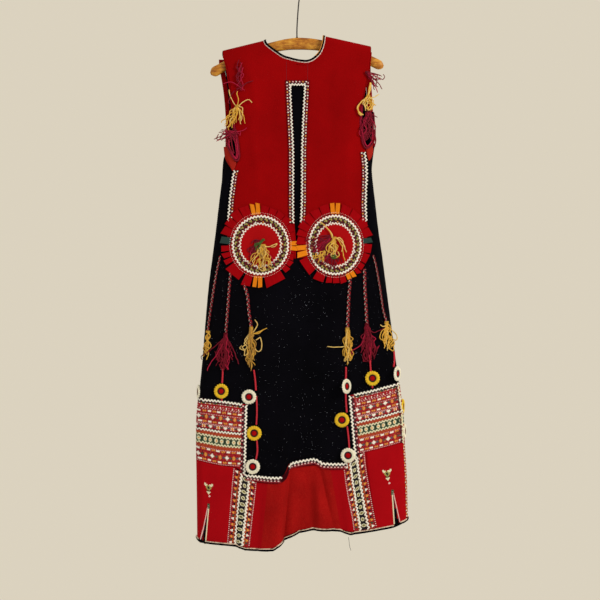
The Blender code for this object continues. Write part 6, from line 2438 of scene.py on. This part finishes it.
# ------------------------------------------------------------------ hanger
def hanger_wood():
    rows = np.array(BAR, float)
    rows[:3] = ((-205.5, -206, -224, 5.0), (-198, -197.5, -225, 6.2), (-176, -186.5, -210, 6.4))
    rows[-2:] = ((185, -184, -208.5, 6.2), (191.5, -190, -208, 5.0))
    xs = np.linspace(rows[0, 0], rows[-1, 0], 120)
    pile = Pile()
    verts, faces = [], []
    sides = 20
    tops = catmull(rows[:, [0, 1]], 12)
    feet = catmull(rows[:, [0, 2]], 12)
    halves = catmull(rows[:, [0, 3]], 12)
    top, foot, half = (np.interp(xs, t[:, 0], t[:, 1]) for t in (tops, feet, halves))
    middle = (top + foot) / 2
    slope = np.arctan(np.gradient(middle, xs))
    tall = (top - foot) / 2 * np.cos(slope)
    for k in range(len(xs)):
        near_end = min(k, len(xs) - 1 - k)
        shrink = math.sqrt(1 - (1 - near_end / 4.0) ** 2) if near_end < 4 else 1.0
        shrink = max(shrink, 0.35)
        for m in range(sides):
            a = 2 * math.pi * m / sides
            c, s = math.cos(a), math.sin(a)
            u = math.copysign(abs(c) ** 0.75, c) * tall[k] * shrink
            v = math.copysign(abs(s) ** 0.75, s) * half[k] * shrink
            verts.append((xs[k] - math.sin(slope[k]) * u, v, middle[k] + math.cos(slope[k]) * u))
    for k in range(len(xs) - 1):
        for m in range(sides):
            a, b = k * sides + m, k * sides + (m + 1) % sides
            faces.append((a, b, b + sides, a + sides))
    faces.append(tuple(range(sides))[::-1])
    faces.append(tuple((len(xs) - 1) * sides + m for m in range(sides)))
    pile.add(np.array(verts) * MM, faces, 0)
    made = pile.done("hanger_wood", [MAT_WOOD])
    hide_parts("hanger_bar")


hanger_wood()
radius = LOOP_RADIUS + WIRE_RADIUS
points = [(-7.0, 0.0, -134.0), (-7.0, 0.0, -110), (-4.5, 0.0, -70), (-2.0, 0.0, -45)]
for step in range(29):
    angle = math.radians(-78 + step * 328 / 28)
    points.append((radius * math.cos(angle), 0.0, -LOOP_RADIUS + radius * math.sin(angle)))
pile = Pile()
tube(pile, catmull(np.array(points) * MM, 3), WIRE_RADIUS * MM, 0, 10)
ferrule = [(-7.0, 0.0, -131.0), (-7.0, 0.0, -129.0)]
tube(pile, np.array([(-7.0, 0.0, -133.5), (-7.0, 0.0, -132.0), (-7.0, 0.0, -130.6)]) * MM, 2.6 * MM, 0, 12)
wire = pile.done("hanger_hook_wire", [MAT_WIRE])
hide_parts("hanger_wire")

# ------------------------------------------------------------------ lint and worn fibres on the black cloth
for facing, name, number, low, high in ((-1, "lint_front", 1000, -1128, -640), (-1, "lint_upper", 50, -640, -175), (1, "lint_back", 700, -1060, -220)):
    pile = Pile()
    made_count = 0
    while made_count < number:
        x, z = RNG.uniform(-235, 240), RNG.uniform(low, high)
        if not dense(1, z) + 10 < x < dense(2, z) - 10:
            continue
        if facing < 0 and z < -940 and (x < left_panel_in(z) + 4 or x > right_panel_in(z) - 4):
            continue
        if facing < 0 and (z < head(x) + 4 if -100 < x < 100 else z < -1100):
            continue
        if name == "lint_upper" and not (x < straight(ARM_LEFT, z) - 2 or x > straight(ARM_RIGHT, z) + 2):
            made_count += 1
            continue
        made_count += 1
        if name == "lint_front" and RNG.uniform() < 0.5 and math.sin(x / 31.0 + 1.0) * math.sin(z / 43.0) + 0.25 * (z < -850) < 0.05:
            continue
        length, angle = RNG.uniform(0.4, 1.7) * (2.8 if RNG.uniform() < 0.06 else 1.0), RNG.uniform(0, math.pi)
        w = (0.07 + 0.22 * RNG.uniform() ** 2) * (1.7 if RNG.uniform() < 0.06 else 1.0)
        c, s = math.cos(angle), math.sin(angle)
        bend = RNG.uniform(-0.3, 0.3) * length
        spots = [(-length / 2, 0), (0, bend), (length / 2, 0)]
        path = np.array([(x + c * p - s * q, z + s * p + c * q, BODY_OUT + 0.25) for p, q in spots])
        tube(pile, wall_xyz(facing, path[:, 0], path[:, 1], path[:, 2]), w * MM, 0, 3)
    pile.done(name, [MAT_LINT])

# ------------------------------------------------------------------ side seams, oversewn with thread
def side_seam(name, k, turn, top, foot, out, mat):
    """The overcast edge that closes the side between the front and the back wall, from the armhole to the hem."""
    zs = np.arange(top, foot, -1.5)
    inset = dense(k, zs) + turn * 1.5
    front, back = (wall_xyz(facing, inset, zs, np.full_like(zs, out)) for facing in (-1, 1))
    stitch = 0.5 + 0.35 * np.sin(zs * 2 * math.pi / 4.5) + 0.1 * np.sin(zs / 5.1)
    middle = (front + back) / 2
    middle[:, 0] = (dense(k, zs) - turn * (out * 0.6 + stitch)) * MM
    near, far = (front + middle) / 2, (back + middle) / 2
    near[:, 0] -= turn * (0.3 + 0.4 * stitch) * MM
    far[:, 0] -= turn * (0.3 + 0.4 * stitch) * MM
    inward = np.array([turn * 1.3 * MM, 0, 0])
    ring = np.stack([front, near, middle, far, back, back + inward, middle + inward * 1.4, front + inward], 1)
    n, sides = len(zs), ring.shape[1]
    faces = []
    for j in range(n - 1):
        for m in range(sides):
            a, b = j * sides + m, j * sides + (m + 1) % sides
            face = (a, b, b + sides, a + sides)
            faces.append(face if turn < 0 else face[::-1])
    faces.append(tuple(range(sides))[:: 1 if turn > 0 else -1])
    faces.append(tuple((n - 1) * sides + m for m in range(sides))[:: -1 if turn > 0 else 1])
    pile = Pile()
    pile.add(ring.reshape(-1, 3), faces, 0)
    return pile.done(name, [mat])


side_seam("side_seam_l_black", 1, 1, -392.0, -1064.0, BODY_OUT + 0.3, MAT_BLACK)
side_seam("side_seam_r_black", 2, -1, -392.0, -1064.0, BODY_OUT + 0.3, MAT_BLACK)
side_seam("side_seam_l_red", 1, 1, -1064.0, -1262.0, HEM_LAID[0] + 0.2, MAT_HEM)
side_seam("side_seam_r_red", 2, -1, -1064.0, -1218.0, HEM_LAID[0] + 0.2, MAT_HEM)

# ------------------------------------------------------------------ studio
def plane(name, size, at, colour):
    mesh = bpy.data.meshes.new(name)
    s = size
    mesh.from_pydata([(-s, -s, 0), (s, -s, 0), (s, s, 0), (-s, s, 0)], [], [(0, 1, 2, 3)])
    obj = bpy.data.objects.new(name, mesh)
    obj.location = at
    bpy.context.scene.collection.objects.link(obj)
    mat, tree, shader = nodes_of(name + "_paper", 0.9)
    tone_ = ramp_of(tree, noise(tree, 3.0, 2), [(0.3, tone(colour, 0.98)), (0.7, tone(colour, 1.02))])
    tree.links.new(tone_, shader.inputs["Base Color"])
    mesh.materials.append(mat)
    return obj


plane("floor", 1.5, (0, 0, -2.0), (0.78, 0.76, 0.72))
world = bpy.data.worlds.new("studio")
bpy.context.scene.world = world
world.use_nodes = True
paper = world.node_tree.nodes["Background"]
paper.inputs["Color"].default_value = (0.71, 0.645, 0.52, 1)
fill_light = world.node_tree.nodes.new("ShaderNodeBackground")
fill_light.inputs["Color"].default_value = (0.62, 0.60, 0.56, 1)
ray = world.node_tree.nodes.new("ShaderNodeLightPath")
choice = world.node_tree.nodes.new("ShaderNodeMixShader")
world.node_tree.links.new(ray.outputs["Is Camera Ray"], choice.inputs[0])
world.node_tree.links.new(fill_light.outputs[0], choice.inputs[1])
world.node_tree.links.new(paper.outputs[0], choice.inputs[2])
world.node_tree.links.new(choice.outputs[0], world.node_tree.nodes["World Output"].inputs["Surface"])


def light(name, at, size, power, colour, aim=(0, 0, -0.75)):
    data = bpy.data.lights.new(name, "AREA")
    data.shape = "RECTANGLE"
    data.size, data.size_y = size
    data.energy = power
    data.color = colour
    obj = bpy.data.objects.new(name, data)
    obj.location = at
    obj.rotation_euler = (Vector(aim) - Vector(at)).to_track_quat("-Z", "Y").to_euler()
    bpy.context.scene.collection.objects.link(obj)


light("key", (2.3, -1.9, 0.6), (0.9, 0.9), 62, (1.0, 0.97, 0.92))
light("fill", (-2.2, -2.0, 0.2), (1.8, 1.8), 10, (1.0, 0.98, 0.96))
light("back_left", (-1.5, 2.4, 0.8), (1.5, 1.5), 14, (1.0, 0.98, 0.95))

cam_data = bpy.data.cameras.new("camera")
cam_data.sensor_width = 36
cam_data.lens = 36 * 2.6 / 1.38
cam = bpy.data.objects.new("camera", cam_data)
cam.location = (0, -2.6, -0.735)
cam.rotation_euler = (math.pi / 2, 0, 0)
bpy.context.scene.collection.objects.link(cam)
bpy.context.scene.camera = cam
bpy.context.scene.view_settings.view_transform = "Standard"
